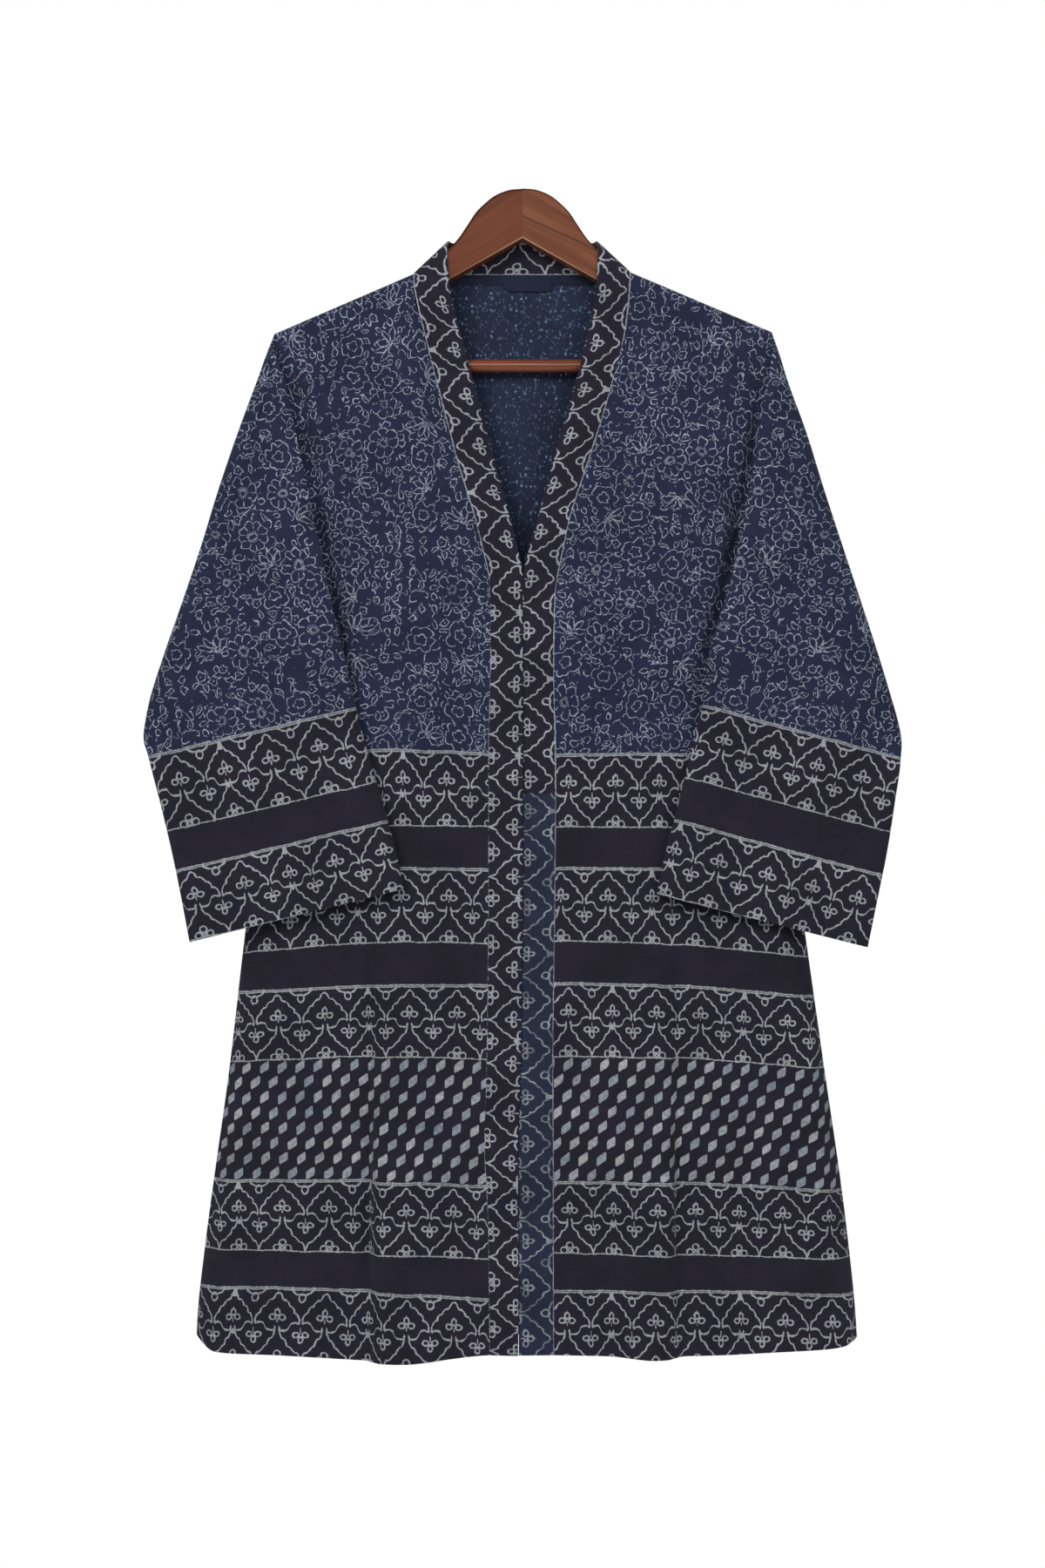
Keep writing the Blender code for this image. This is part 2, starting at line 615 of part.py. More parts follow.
def rounded_outline(corners, form):
    """Points round a section: an arc at each corner, and points spaced along each wall."""
    corners = [np.array(corner) for corner in corners]
    arcs = []
    for k, (corner, (part, wanted, count, _)) in enumerate(zip(corners, SLEEVE_CORNERS)):
        before = corners[k - 1] - corner
        after = corners[(k + 1) % len(corners)] - corner
        if form == "armhole" and part.startswith("fold"):
            wanted = SHOULDER_ROUND - CLOTH / 2
        start = corner + before * min(LARGEST_CUT, wanted / np.linalg.norm(before))
        end = corner + after * min(LARGEST_CUT, wanted / np.linalg.norm(after))
        angles = [math.pi / 2 * step / (count - 1) for step in range(count)]
        arcs.append([start + (corner - start) * math.sin(a) + (end - corner) * (1 - math.cos(a)) for a in angles])
    points = []
    for k, (arc, (_, _, _, count)) in enumerate(zip(arcs, SLEEVE_CORNERS)):
        points += arc
        start, end = arc[-1], arcs[(k + 1) % len(arcs)][0]
        points += [start + (end - start) * step / (count + 1) for step in range(1, count + 1)]
    return np.array(points)


def both_sides(line):
    """The section's middle line moved half a cloth each way: its outer and inner outlines."""
    steps = np.roll(line, -1, axis=0) - line
    steps /= np.linalg.norm(steps, axis=1, keepdims=True)
    along = steps + np.roll(steps, 1, axis=0)
    normals = np.stack([along[:, 1], -along[:, 0]], axis=1)
    normals /= np.linalg.norm(normals, axis=1, keepdims=True)
    area = 0.5 * np.sum(line[:, 0] * np.roll(line[:, 1], -1) - np.roll(line[:, 0], -1) * line[:, 1])
    if area < 0:
        normals = -normals
    return line + normals * CLOTH / 2, line - normals * CLOTH / 2


def sleeve_rings(side):
    """Outer and inner points of the sleeve's rings, from the armhole to the cuff."""
    sign = side_sign(side)
    places = SLEEVE_PLACES[side]
    elbow = [row[0] for row in SLEEVE_WALLS].index("flat")
    elbow_at = np.array(places[elbow][2:])
    underarm = np.array(UNDERARM)
    outer_rings, inner_rings = [], []
    for place, (form, reach, *depths) in zip(places, SLEEVE_WALLS):
        inner_edge, fold_at = np.array(place[:2]), np.array(place[2:])
        under = underarm + (elbow_at - underarm) * reach
        front_length = np.linalg.norm(inner_edge - fold_at)
        back_length = np.linalg.norm(under - fold_at)
        towards_front = (inner_edge - fold_at) / max(front_length, CLOTH)
        towards_back = (under - fold_at) / max(back_length, CLOTH)
        line = rounded_outline(sleeve_corners(form, front_length, back_length, depths), form)
        front, lower = depths[1] - CLOTH / 2, depths[2] + CLOTH / 2
        for outline, rings in zip(both_sides(line), (outer_rings, inner_rings)):
            ring = []
            for along, y in outline:
                if form == "armhole":
                    behind = 1.0
                elif form == "flat":
                    behind = 0.0
                else:
                    behind = smooth_step(y, lower, front)
                x, z = fold_at + (towards_front * (1 - behind) + towards_back * behind) * along
                ring.append((sign * (x + (SEAM_GAP if form == "armhole" else 0.0)), y, z))
            rings.append(ring)
    return np.array(outer_rings), np.array(inner_rings)


def make_body():
    """The two fronts and the back; returns their outer points, and the back's inner ones."""
    fronts = {}
    for side in ("right", "left"):
        fronts[side] = front_grid(side)
        wall_solid(side + "_front", fronts[side], inner_side(fronts[side], (0, 1, 0), (0,)), FLORAL_CLOTH)
    back = back_grid()
    back_inside = inner_side(back, (0, -1, 0), (0, -1))
    wall_solid("back", back, back_inside, FLORAL_CLOTH)
    return fronts, back, back_inside


def make_sleeves():
    """The two sleeves, each one tube."""
    for side in ("right", "left"):
        outer, inner = sleeve_rings(side)
        wall_solid(side + "_sleeve", outer, inner, FLORAL_CLOTH, ring=True)


def read_grid(grid, row, column):
    """A point of a grid at a place between its rows and columns."""
    i, j = min(int(row), grid.shape[0] - 2), min(int(column), grid.shape[1] - 2)
    u, v = row - i, column - j
    return ((1 - u) * ((1 - v) * grid[i, j] + v * grid[i, j + 1])
            + u * ((1 - v) * grid[i + 1, j] + v * grid[i + 1, j + 1]))


def column_at(grid, x):
    """The place between two columns where the grid's first row crosses x."""
    xs = grid[0, :, 0]
    k = int(np.searchsorted(xs, x)) - 1
    return k + (x - xs[k]) / (xs[k + 1] - xs[k])


def make_neck_trim(back_inside):
    """The strip over the back neck seam and the flat hanging loop sewn on it, both on the inside of the back."""
    half = back_inside.shape[1] // 2
    columns = range(half - BINDING_COLUMNS, half + BINDING_COLUMNS + 1)
    strip = np.array([[read_grid(back_inside, row, column) for column in columns] for row in BINDING_ROWS])
    strip -= (0, SEAM_GAP, 0)
    wall_solid("neck_binding", strip, strip - (0, TRIM, 0), TRIM_CLOTH)
    first, last = column_at(back_inside, LOOP_FROM), column_at(back_inside, LOOP_TO)
    columns = [first] + list(range(math.ceil(first), math.floor(last) + 1)) + [last]
    loop = np.array([[read_grid(back_inside, row, column) for column in columns] for row in LOOP_ROWS])
    loop -= (0, 2 * SEAM_GAP + TRIM, 0)
    wall_solid("hang_loop", loop, loop - (0, TRIM, 0), TRIM_CLOTH)


def under_shoulder_z(side, distance):
    """Height just under the cloth of the shoulder."""
    neck_x, neck_z = NECK_POINT[side]
    tip_x, tip_z = SHOULDER_TIP[side]
    steepness = math.hypot(1.0, (tip_z - neck_z) / (tip_x - neck_x))
    return shoulder_z(side, distance) - (CLOTH + SEAM_GAP) * steepness


def wood_top_z(side, distance):
    """Upper edge of an arm: the head's outline and the dip beside it, then the shoulder's slope."""
    last_x, last_z = HEAD_OUTLINE[-1]
    if distance > last_x:
        return under_shoulder_z(side, distance)
    fitted = (under_shoulder_z(side, last_x) - last_z) * smooth_step(distance, SLOPE_FROM, last_x)
    return read_table(HEAD_OUTLINE, distance, 1) + fitted


def arm_outline(side):
    """Outline of one half of the hanger in the front view, from the mitre's top round the arm's end."""
    points = [(HALF_GAP, 0.0)]
    for k in range(1, ARM_STEPS + 1):
        distance = HEAD_OUTLINE[-1][0] * k / ARM_STEPS
        points.append((distance, wood_top_z(side, distance)))
    end_top = wood_top_z(side, ARM_END_X + ARM_END_ROUND[0][0])
    points += [(ARM_END_X + x, end_top + z) for x, z in ARM_END_ROUND]
    points.append((BLOCK_OUTER_X, BLOCK_BOTTOM))
    points.append((BLOCK_INNER_X, BLOCK_BOTTOM))
    points.append((BLOCK_INNER_X, wood_top_z(side, BLOCK_INNER_X) - ARM_END_HEIGHT))
    points.append((LOWER_MIDDLE_X, wood_top_z(side, LOWER_MIDDLE_X) - ARM_END_HEIGHT - LOWER_MIDDLE_DROP))
    for distance in (LOWER_CORNER_X, HALF_GAP):
        points.append((distance, MITRE_TOP - LOWER_EDGE_SLOPE * distance))
    return points


def make_hanger():
    """The two wooden halves, mitred below the head, and the bar between their ends."""
    for side in ("right", "left"):
        sign = side_sign(side)
        shape = bmesh.new()
        front = [shape.verts.new((sign * x, -WOOD_HALF_DEPTH, z)) for x, z in arm_outline(side)]
        face = shape.faces.new(front)
        grown = bmesh.ops.extrude_face_region(shape, geom=[face])
        for vertex in [v for v in grown["geom"] if isinstance(v, bmesh.types.BMVert)]:
            vertex.co.y = WOOD_HALF_DEPTH
        bmesh.ops.recalc_face_normals(shape, faces=shape.faces)

        def on_mitre(vertex):
            return abs(vertex.co.x) < 2 * HALF_GAP

        rim = [e for e in shape.edges if abs(e.verts[0].co.y - e.verts[1].co.y) < HALF_GAP
               and not (on_mitre(e.verts[0]) and on_mitre(e.verts[1]))]
        bmesh.ops.bevel(shape, geom=rim, offset=WOOD_EDGE_RADIUS, segments=3, profile=0.5, affect="EDGES",
                        clamp_overlap=True)
        mesh = bpy.data.meshes.new("hanger_" + side + "_arm")
        shape.to_mesh(mesh)
        shape.free()
        add_object("hanger_" + side + "_arm", mesh, WOOD)
    shape = bmesh.new()
    length = 2 * (BLOCK_INNER_X - SEAM_GAP)
    bmesh.ops.create_cone(shape, cap_ends=True, segments=BAR_SIDES, radius1=BAR_RADIUS, radius2=BAR_RADIUS,
                          depth=length)
    for vertex in shape.verts:
        vertex.co = (vertex.co.z, vertex.co.y, vertex.co.x + BAR_Z)
    bmesh.ops.recalc_face_normals(shape, faces=shape.faces)
    mesh = bpy.data.meshes.new("hanger_bar")
    shape.to_mesh(mesh)
    shape.free()
    add_object("hanger_bar", mesh, BAR_WOOD)


def main():
    for thing in list(bpy.data.objects):
        bpy.data.objects.remove(thing, do_unlink=True)
    fronts, back, back_inside = make_body()
    make_bands(fronts, back)
    make_sleeves()
    make_neck_trim(back_inside)
    make_hanger()


main()
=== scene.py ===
"""Printed kimono jacket on a wooden hanger: the cloth, prints, wood, stage, lights and camera, in metres.

+X is the wearer's left, -Y the front and +Z up. The origin is the top of the hanger's head.
Each piece of cloth is a thin shell on the form of its solid, from the same sections, with creases added.
"""
import math
from functools import partialmethod

import bmesh
import bpy
import numpy as np
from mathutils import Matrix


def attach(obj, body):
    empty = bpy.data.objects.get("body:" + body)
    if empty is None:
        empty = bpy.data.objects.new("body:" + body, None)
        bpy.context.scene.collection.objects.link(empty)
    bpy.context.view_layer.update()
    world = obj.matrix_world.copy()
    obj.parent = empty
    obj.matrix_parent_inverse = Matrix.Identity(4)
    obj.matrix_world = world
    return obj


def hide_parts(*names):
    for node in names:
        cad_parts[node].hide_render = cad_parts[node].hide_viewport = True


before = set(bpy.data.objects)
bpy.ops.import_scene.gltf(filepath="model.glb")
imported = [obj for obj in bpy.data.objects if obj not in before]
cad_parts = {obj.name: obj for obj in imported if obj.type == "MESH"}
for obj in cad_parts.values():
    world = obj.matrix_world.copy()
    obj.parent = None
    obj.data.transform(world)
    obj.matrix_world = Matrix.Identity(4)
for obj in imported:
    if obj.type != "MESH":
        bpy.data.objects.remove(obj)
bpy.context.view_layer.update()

# Camera: level with the middle of the photograph, which shows the jacket from straight in front
CAMERA_PLACE = (0.0, -1.97, -0.5093)
CAMERA_LENS = 52.70
CAMERA_SENSOR = 36.0

# Cloth and clearances
CLOTH = 0.0015
DOUBLE_CLOTH = 0.0020
SEAM_GAP = 0.0003
HALF_GAP = SEAM_GAP / 2
SEWN_GAP = 0.00004
TUCK_ACROSS, TUCK_BEHIND = 0.0005, 0.0003  # how far the band's sewn edge reaches under the front
SEAM_EASE = 0.022  # width of the front's cloth that eases over to the side seam
SHELL = 0.0007
HEM_SHELL = 0.0015
HEM_FOLD, HEM_EDGE = 0.018, 0.0015  # height of the turned hem and of its thinning edge
BAND_SHELL = 0.0016
TRIM = 0.0010
CLOTH_SHARP_ANGLE, WOOD_SHARP_ANGLE = 50, 35

# Creases stay away from the seams: how much of the cloth there stays still, and over how much they grow
SHOULDER_STILL, SHOULDER_FADE = 0.012, 0.05
ARMHOLE_STILL, ARMHOLE_FADE = 0.02, 0.05
EDGE_FADE = 0.012
CREASE_END = 0.25
CREASE_BEND, CREASE_WAVE, CREASE_SHIFT = 0.25, 5.0, 90

# Hanger
WOOD_HALF_DEPTH = 0.008
WOOD_EDGE_RADIUS = 0.005
MITRE_TOP = -0.0425
MITRE_GAP = 0.0
LOWER_EDGE_SLOPE = 0.560
ARM_END_X = 0.206
ARM_END_HEIGHT = 0.020
BLOCK_INNER_X = 0.178
BLOCK_OUTER_X = 0.193
BLOCK_BOTTOM = -0.163
BAR_Z = -0.1505
BAR_RADIUS = 0.0055
BAR_SIDES = 64
ARM_STEPS = 90
UPPER_BEVEL, LOWER_BEVEL, BAR_BEVEL = 0.0030, 0.0011, 0.0006
LOWER_RIM_REACH = 0.004
ARM_END_ROUND = [(-0.010, 0.000), (-0.003, -0.006), (0.000, -0.014), (-0.001, -0.026)]
LOWER_CORNER_X = 0.0935
LOWER_MIDDLE_X = 0.120
LOWER_MIDDLE_DROP = 0.002
HEAD_OUTLINE = [  # x, z of the upper edge: the round head, the dip under the neck, the shoulder's slope
    (0.0000, 0.0000),
    (0.0090, -0.0006),
    (0.0175, -0.0030),
    (0.0249, -0.0067),
    (0.0324, -0.0127),
    (0.0398, -0.0201),
    (0.0473, -0.0313),
    (0.0555, -0.0432),
    (0.0658, -0.0540),
    (0.0730, -0.0640),
    (0.0800, -0.0715),
    (0.0870, -0.0755),
    (0.0935, -0.0775),
    (0.1100, -0.0818),
]
SLOPE_FROM = 0.0658

# Shoulders: the cloth turns over the arms in a flat top and a round corner on each side
SHOULDER_FLAT = 0.003
SHOULDER_ROUND = WOOD_EDGE_RADIUS + SEAM_GAP + CLOTH
SHOULDER_DEPTH = SHOULDER_FLAT + SHOULDER_ROUND
NECK_POINT = {"right": (0.0935, -0.0725), "left": (0.0930, -0.0712)}
SHOULDER_TIP = {"right": (0.2119, -0.1235), "left": (0.2131, -0.1220)}
BACK_NECK_Z = -0.0700
BACK_NECK_DEPTH = 0.0120
BACK_NECK_POWER = 6
NECK_BULGE_FROM, NECK_BULGE_TO = 0.105, 0.060
NECK_BULGE_TOP, NECK_BULGE_FOOT = 0.02, 0.10
NECK_CORNER = 0.0095
UNDERARM = (0.2020, -0.3630)
UNDERARM_ROUND = 0.030

# Half widths at the side seams, by height
SIDE_COLUMN = {"right": 1, "left": 2}
SIDE_SEAMS = [  # height, right, left
    (-0.363, 0.2020, 0.2020),
    (-0.500, 0.2205, 0.2225),
    (-0.640, 0.2385, 0.2430),
    (-0.756, 0.2520, 0.2595),
    (-0.845, 0.2645, 0.2725),
    (-0.905, 0.2725, 0.2800),
    (-0.965, 0.2790, 0.2860),
    (-1.010, 0.2810, 0.2885),
]

# The front opening, by height: where the band is sewn to each front, and the free edges of the band
SEAM_COLUMN = {"right": 1, "left": 4}
EDGE_COLUMN = {"right": 2, "left": 3}
FRONT_OPENING = [  # height, right seam, right edge, left edge, left seam
    (-0.0600, -0.0935, -0.0645, 0.0645, 0.0925),
    (-0.0920, -0.0925, -0.0613, 0.0622, 0.0917),
    (-0.1156, -0.0862, -0.0549, 0.0576, 0.0893),
    (-0.1475, -0.0780, -0.0468, 0.0503, 0.0815),
    (-0.1936, -0.0661, -0.0345, 0.0374, 0.0692),
    (-0.2400, -0.0538, -0.0221, 0.0245, 0.0543),
    (-0.2865, -0.0394, -0.0093, 0.0121, 0.0394),
    (-0.3100, -0.0338, -0.0038, 0.0054, 0.0346),
    (-0.3300, -0.0293, -0.0001, 0.0008, 0.0305),
    (-0.3450, -0.0267, 0.0001, 0.0006, 0.0281),
    (-0.4195, -0.0276, 0.0003, 0.0008, 0.0268),
    (-0.4834, -0.0290, 0.0003, 0.0008, 0.0286),
    (-0.5926, -0.0290, 0.0000, 0.0005, 0.0280),
    (-0.7500, -0.0305, -0.0016, -0.0011, 0.0261),
    (-0.8178, -0.0322, -0.0040, -0.0035, 0.0264),
    (-0.8824, -0.0292, -0.0036, -0.0031, 0.0264),
    (-1.0100, -0.0276, -0.0036, -0.0031, 0.0267),
]
BAND_JOIN = {"right": -0.3563, "left": -0.5170}
BAND_LIFT = 0.0010
RIGHT_OVER_LEFT = 0.0015
LAP_FROM, LAP_FULL = -0.30, -0.40

# Heights of the hem, by distance from the centre
RIGHT_HEM = [(0.000, -0.9925), (0.028, -0.9930), (0.060, -0.9962), (0.082, -0.9990), (0.101, -1.0001),
             (0.124, -1.0000), (0.157, -0.9985), (0.209, -0.9955), (0.262, -0.9930), (0.281, -0.9800)]
LEFT_HEM = [(0.000, -0.9925), (0.027, -0.9930), (0.075, -0.9940), (0.095, -0.9960), (0.111, -0.9970),
            (0.128, -0.9965), (0.170, -0.9955), (0.208, -0.9935), (0.246, -0.9915), (0.274, -0.9890),
            (0.2885, -0.9825)]
HEM = {"right": RIGHT_HEM, "left": LEFT_HEM}
BACK_HEM_LIFT = 0.004
BACK_HEM_POWER = 8
HEM_CURVE_FROM = 0.35

# How far the outer faces of the fronts and the back stand from the hanger's middle plane, by height
BODY_DEPTHS = [  # height, fronts near the sides, fronts near the band, back
    (-0.060, SHOULDER_DEPTH, SHOULDER_DEPTH, SHOULDER_DEPTH),
    (-0.130, SHOULDER_DEPTH, SHOULDER_DEPTH, 0.0108),
    (-0.230, 0.0100, 0.0112, 0.0125),
    (-0.360, 0.0105, 0.0125, 0.0140),
    (-0.640, 0.0120, 0.0145, 0.0185),
    (-0.800, 0.0145, 0.0205, 0.0220),
    (-1.010, 0.0170, 0.0270, 0.0250),
]
SIDE_ROUND = 0.034
FRONT_FOLDS = {  # ridge, its half width and height at the hem, the flank's middle and half width at the hem
    "right": {"ridge": 0.1015, "spread": 0.024, "rise": 0.0045, "flank": 0.1275, "slope": 0.0085},
    "left": {"ridge": 0.1110, "spread": 0.020, "rise": 0.0035, "flank": 0.1305, "slope": 0.0085},
}
FOLD_TOP = -0.600
FOLD_FULL = -0.840
SOFT_SLOPE = 0.045
BACK_FOLD_FULL = -1.0
BACK_FOLDS = [  # x at the hem, half width, rise at the hem, height where it starts
    (-0.205, 0.026, 0.0050, -0.52),
    (-0.118, 0.030, 0.0070, -0.40),
    (-0.010, 0.036, 0.0060, -0.30),
    (0.098, 0.028, 0.0075, -0.45),
    (0.190, 0.030, 0.0055, -0.38),
]

# Sleeves: each row is a section of the tube, from the open armhole past the fold to the flat cuff
SLEEVE_PLACES = {
    "right": [  # inner edge x, z, then the fold or outer edge x, z
        (0.2119, -0.1235, 0.2119, -0.1235),
        (0.2120, -0.1405, 0.2190, -0.1430),
        (0.2046, -0.1580, 0.2262, -0.1630),
        (0.1963, -0.1950, 0.2431, -0.2090),
        (0.1875, -0.2350, 0.2594, -0.2570),
        (0.1791, -0.2750, 0.2743, -0.3060),
        (0.1707, -0.3150, 0.2903, -0.3540),
        (0.1630, -0.3520, 0.3058, -0.3990),
        (0.1554, -0.3850, 0.3178, -0.4380),
        (0.1518, -0.3982, 0.3205, -0.4530),
        (0.1486, -0.4110, 0.3220, -0.4670),
        (0.1413, -0.4443, 0.3177, -0.4863),
        (0.1307, -0.4850, 0.3072, -0.5270),
        (0.1187, -0.5250, 0.2976, -0.5670),
        (0.1082, -0.5630, 0.2895, -0.6060),
        (0.1006, -0.5980, 0.2824, -0.6433),
    ],
    "left": [
        (0.2131, -0.1220, 0.2131, -0.1220),
        (0.2130, -0.1395, 0.2195, -0.1425),
        (0.2102, -0.1580, 0.2259, -0.1630),
        (0.2037, -0.1950, 0.2425, -0.2090),
        (0.1977, -0.2350, 0.2573, -0.2570),
        (0.1903, -0.2750, 0.2732, -0.3060),
        (0.1822, -0.3150, 0.2889, -0.3540),
        (0.1726, -0.3520, 0.3034, -0.3990),
        (0.1619, -0.3850, 0.3150, -0.4380),
        (0.1592, -0.3982, 0.3188, -0.4528),
        (0.1568, -0.4110, 0.3214, -0.4670),
        (0.1526, -0.4418, 0.3212, -0.4886),
        (0.1421, -0.4850, 0.3163, -0.5240),
        (0.1327, -0.5250, 0.3094, -0.5670),
        (0.1226, -0.5630, 0.3012, -0.6070),
        (0.1140, -0.6026, 0.2928, -0.6477),
    ],
}
SLEEVE_WALLS = [  # form, share of the underarm edge, y of the back, front, lower and upper walls
    ("armhole", 0.00, 0.00905, -0.00905, -0.00905, -0.00905),
    ("rise", 0.01, 0.00900, -0.00900, -0.01310, -0.01550),
    ("folded", 0.04, 0.00860, -0.00880, -0.01400, -0.01850),
    ("folded", 0.10, 0.00760, -0.00850, -0.01420, -0.01960),
    ("folded", 0.18, 0.00620, -0.00840, -0.01440, -0.02010),
    ("folded", 0.30, 0.00480, -0.00840, -0.01460, -0.02060),
    ("folded", 0.45, 0.00340, -0.00840, -0.01480, -0.02120),
    ("folded", 0.63, 0.00180, -0.00850, -0.01510, -0.02190),
    ("folded", 0.82, -0.00050, -0.00880, -0.01540, -0.02260),
    ("close", 0.92, -0.00700, -0.01000, -0.01555, -0.02300),
    ("flat", 1.00, -0.01000, -0.01000, -0.01570, -0.02330),
    ("flat", 1.00, -0.01000, -0.01000, -0.01600, -0.02400),
    ("flat", 1.00, -0.01000, -0.01000, -0.01640, -0.02480),
    ("flat", 1.00, -0.01000, -0.01000, -0.01680, -0.02570),
    ("flat", 1.00, -0.01000, -0.01000, -0.01720, -0.02670),
    ("flat", 1.00, -0.01000, -0.01000, -0.01760, -0.02780),
]
SLEEVE_CORNERS = [  # where two walls of a section meet, rounding, points on it and on the wall after it
    ("pocket front", 0.003, 2, 0),
    ("pocket lower", 0.003, 2, 3),
    ("inner lower", 0.003, 2, 0),
    ("inner upper", 0.003, 2, 3),
    ("fold upper", 0.010, 3, 0),
    ("fold back", 0.010, 3, 3),
    ("underarm back", UNDERARM_ROUND, 3, 0),
    ("underarm front", UNDERARM_ROUND, 3, 2),
]
POCKET_DEPTH = 0.0065
POCKET_SHARE = 0.35
SPARE_FROM = 0.0040
SPARE_CORNERS = 0.0030
LARGEST_CUT = 0.35

# The free edge of the band, from the foot of the turn over the arm to the middle of the back neck
NECK_EDGE = [  # x, y, z
    (0.0638, -0.0106, -0.0680),
    (0.0646, -0.0101, -0.0565),
    (0.0645, -0.0068, -0.0478),
    (0.0634, -0.0005, -0.0432),
    (0.0626, 0.0050, -0.0428),
    (0.0614, 0.0095, -0.0426),
    (0.0600, 0.0119, -0.0424),
    (0.0510, 0.0122, -0.0420),
    (0.0365, 0.0122, -0.0415),
    (0.0185, 0.0122, -0.0407),
    (0.0000, 0.0122, -0.0405),
]
BINDING_HALF_WIDTH = 0.062
BINDING_DROP = 0.0085
LOOP_FROM, LOOP_TO = -0.0165, 0.0255
LOOP_TOP, LOOP_FOOT = 0.0035, 0.0145
BINDING_TOP = 0.0002
STRIP_ROWS, STRIP_COLUMNS = 7, 41
STRIP_LEVEL = 12
STRIP_BLUNT = 0.98
STRIP_BULGE = 0.0004

# Divisions of the solids' body panels, which the neck band is worked out from, and of the fine shells
ARMHOLE_SHARES = (0.20, 0.41, 0.62, 0.80, 0.925, 0.98, 1.0)
FRONT_COLUMNS = (0.0, 0.008, 0.03, 0.08, 0.17, 0.28, 0.40, 0.50,
                 0.56, 0.59, 0.62, 0.65, 0.70, 0.77, 0.88, 1.0)
NECK_COLUMNS = (0.0, 0.27, 0.54, 0.76, 0.90, 0.935, 0.97, 1.0)
SHOULDER_COLUMNS = (0.22, 0.42, 0.60, 0.76, 0.88, 0.96, 0.99, 1.0)
OPENING_FOOT = -0.3290
COARSE = {"turn": 3, "armhole": ARMHOLE_SHARES, "body": 11, "front": FRONT_COLUMNS,
          "neck": NECK_COLUMNS, "shoulder": SHOULDER_COLUMNS}


def finer(shares, parts, start=None):
    """Shares with each gap between two of them divided into equal parts."""
    ends = ([start] if start is not None else []) + list(shares)
    made = [a + (b - a) * k / parts for a, b in zip(ends, ends[1:]) for k in range(parts)] + [ends[-1]]
    return tuple(made[1:] if start is not None else made)


FINE = {"turn": 6, "armhole": finer(ARMHOLE_SHARES, 6, 0.0), "body": 110, "front": finer(FRONT_COLUMNS, 4),
        "neck": finer(NECK_COLUMNS, 4), "shoulder": finer(SHOULDER_COLUMNS, 4, 0.0)}
SLEEVE_SPACING = 0.0055
WRAP = 3


def smooth_step(value, low, high):
    """Goes from 0 at low to 1 at high, level at both ends."""
    share = min(1.0, max(0.0, (value - low) / (high - low)))
    return share * share * (3 - 2 * share)


def curve_between(t, step, start, end, leaving, arriving):
    """Value at a share t of the step between two values, on a curve with the two slopes."""
    return ((2 * t**3 - 3 * t**2 + 1) * start + (t**3 - 2 * t**2 + t) * step * leaving
            + (3 * t**2 - 2 * t**3) * end + (t**3 - t**2) * step * arriving)


def read_table(rows, at, column):
    """Value of a column at a height or distance, on a smooth curve that never overshoots the rows."""
    rows = sorted(rows)
    xs = [row[0] for row in rows]
    ys = [row[column] for row in rows]
    at = min(max(at, xs[0]), xs[-1])
    k = min(max(int(np.searchsorted(xs, at)) - 1, 0), len(xs) - 2)

    def slope(i):
        return (ys[i + 1] - ys[i]) / (xs[i + 1] - xs[i])

    def tangent(i):
        if i == 0 or i == len(xs) - 1:
            return slope(0) if i == 0 else slope(i - 1)
        before, after = slope(i - 1), slope(i)
        return 0.0 if before * after <= 0 else 2 * before * after / (before + after)

    step = xs[k + 1] - xs[k]
    return curve_between((at - xs[k]) / step, step, ys[k], ys[k + 1], tangent(k), tangent(k + 1))


def side_sign(side):
    """-1 on the wearer's right, at -X, and 1 on the left."""
    return -1 if side == "right" else 1


def shoulder_z(side, distance):
    """Height of the shoulder's top line at a distance from the centre."""
    neck_x, neck_z = NECK_POINT[side]
    tip_x, tip_z = SHOULDER_TIP[side]
    return neck_z + (tip_z - neck_z) * (distance - neck_x) / (tip_x - neck_x)


def side_distance(side, z):
    """Distance of the armhole edge or the side seam from the centre."""
    tip_x, tip_z = SHOULDER_TIP[side]
    underarm_x, underarm_z = UNDERARM
    if z > underarm_z:
        return tip_x + (underarm_x - tip_x) * (z - tip_z) / (underarm_z - tip_z)
    return read_table(SIDE_SEAMS, z, SIDE_COLUMN[side])


def armhole_share(z):
    """1 where the armhole holds front and back apart, and 0 from the underarm down, where they are sewn."""
    low = UNDERARM[1]
    if z <= low:
        return 0.0
    if z >= low + UNDERARM_ROUND:
        return 1.0
    return math.sqrt(1 - (1 - (z - low) / UNDERARM_ROUND) ** 2)


def side_rounding(side, distance, z):
    """Share of the full depth near the side: front and back turn towards each other at the side seam."""
    inset = (side_distance(side, z) - distance) / SIDE_ROUND
    rounded = 1.0 if inset >= 1 else math.sqrt(max(0.0, 1 - (1 - max(inset, 0.0)) ** 2))
    return rounded + (1 - rounded) * armhole_share(z)


def front_depth(side, distance, z):
    """How far the front's outer face stands in front of the hanger's middle plane."""
    fold = FRONT_FOLDS[side]
    growth = smooth_step(-z, -FOLD_TOP, -FOLD_FULL)
    half_width = SOFT_SLOPE + (fold["slope"] - SOFT_SLOPE) * growth
    near_side = read_table(BODY_DEPTHS, z, 1)
    near_band = read_table(BODY_DEPTHS, z, 2)
    inside = 1 - smooth_step(distance, fold["flank"] - half_width, fold["flank"] + half_width)
    ridge = fold["rise"] * growth * math.exp(-((distance - fold["ridge"]) / fold["spread"]) ** 2)
    depth = near_side + (near_band - near_side) * inside + ridge * inside
    return depth * side_rounding(side, distance, z)


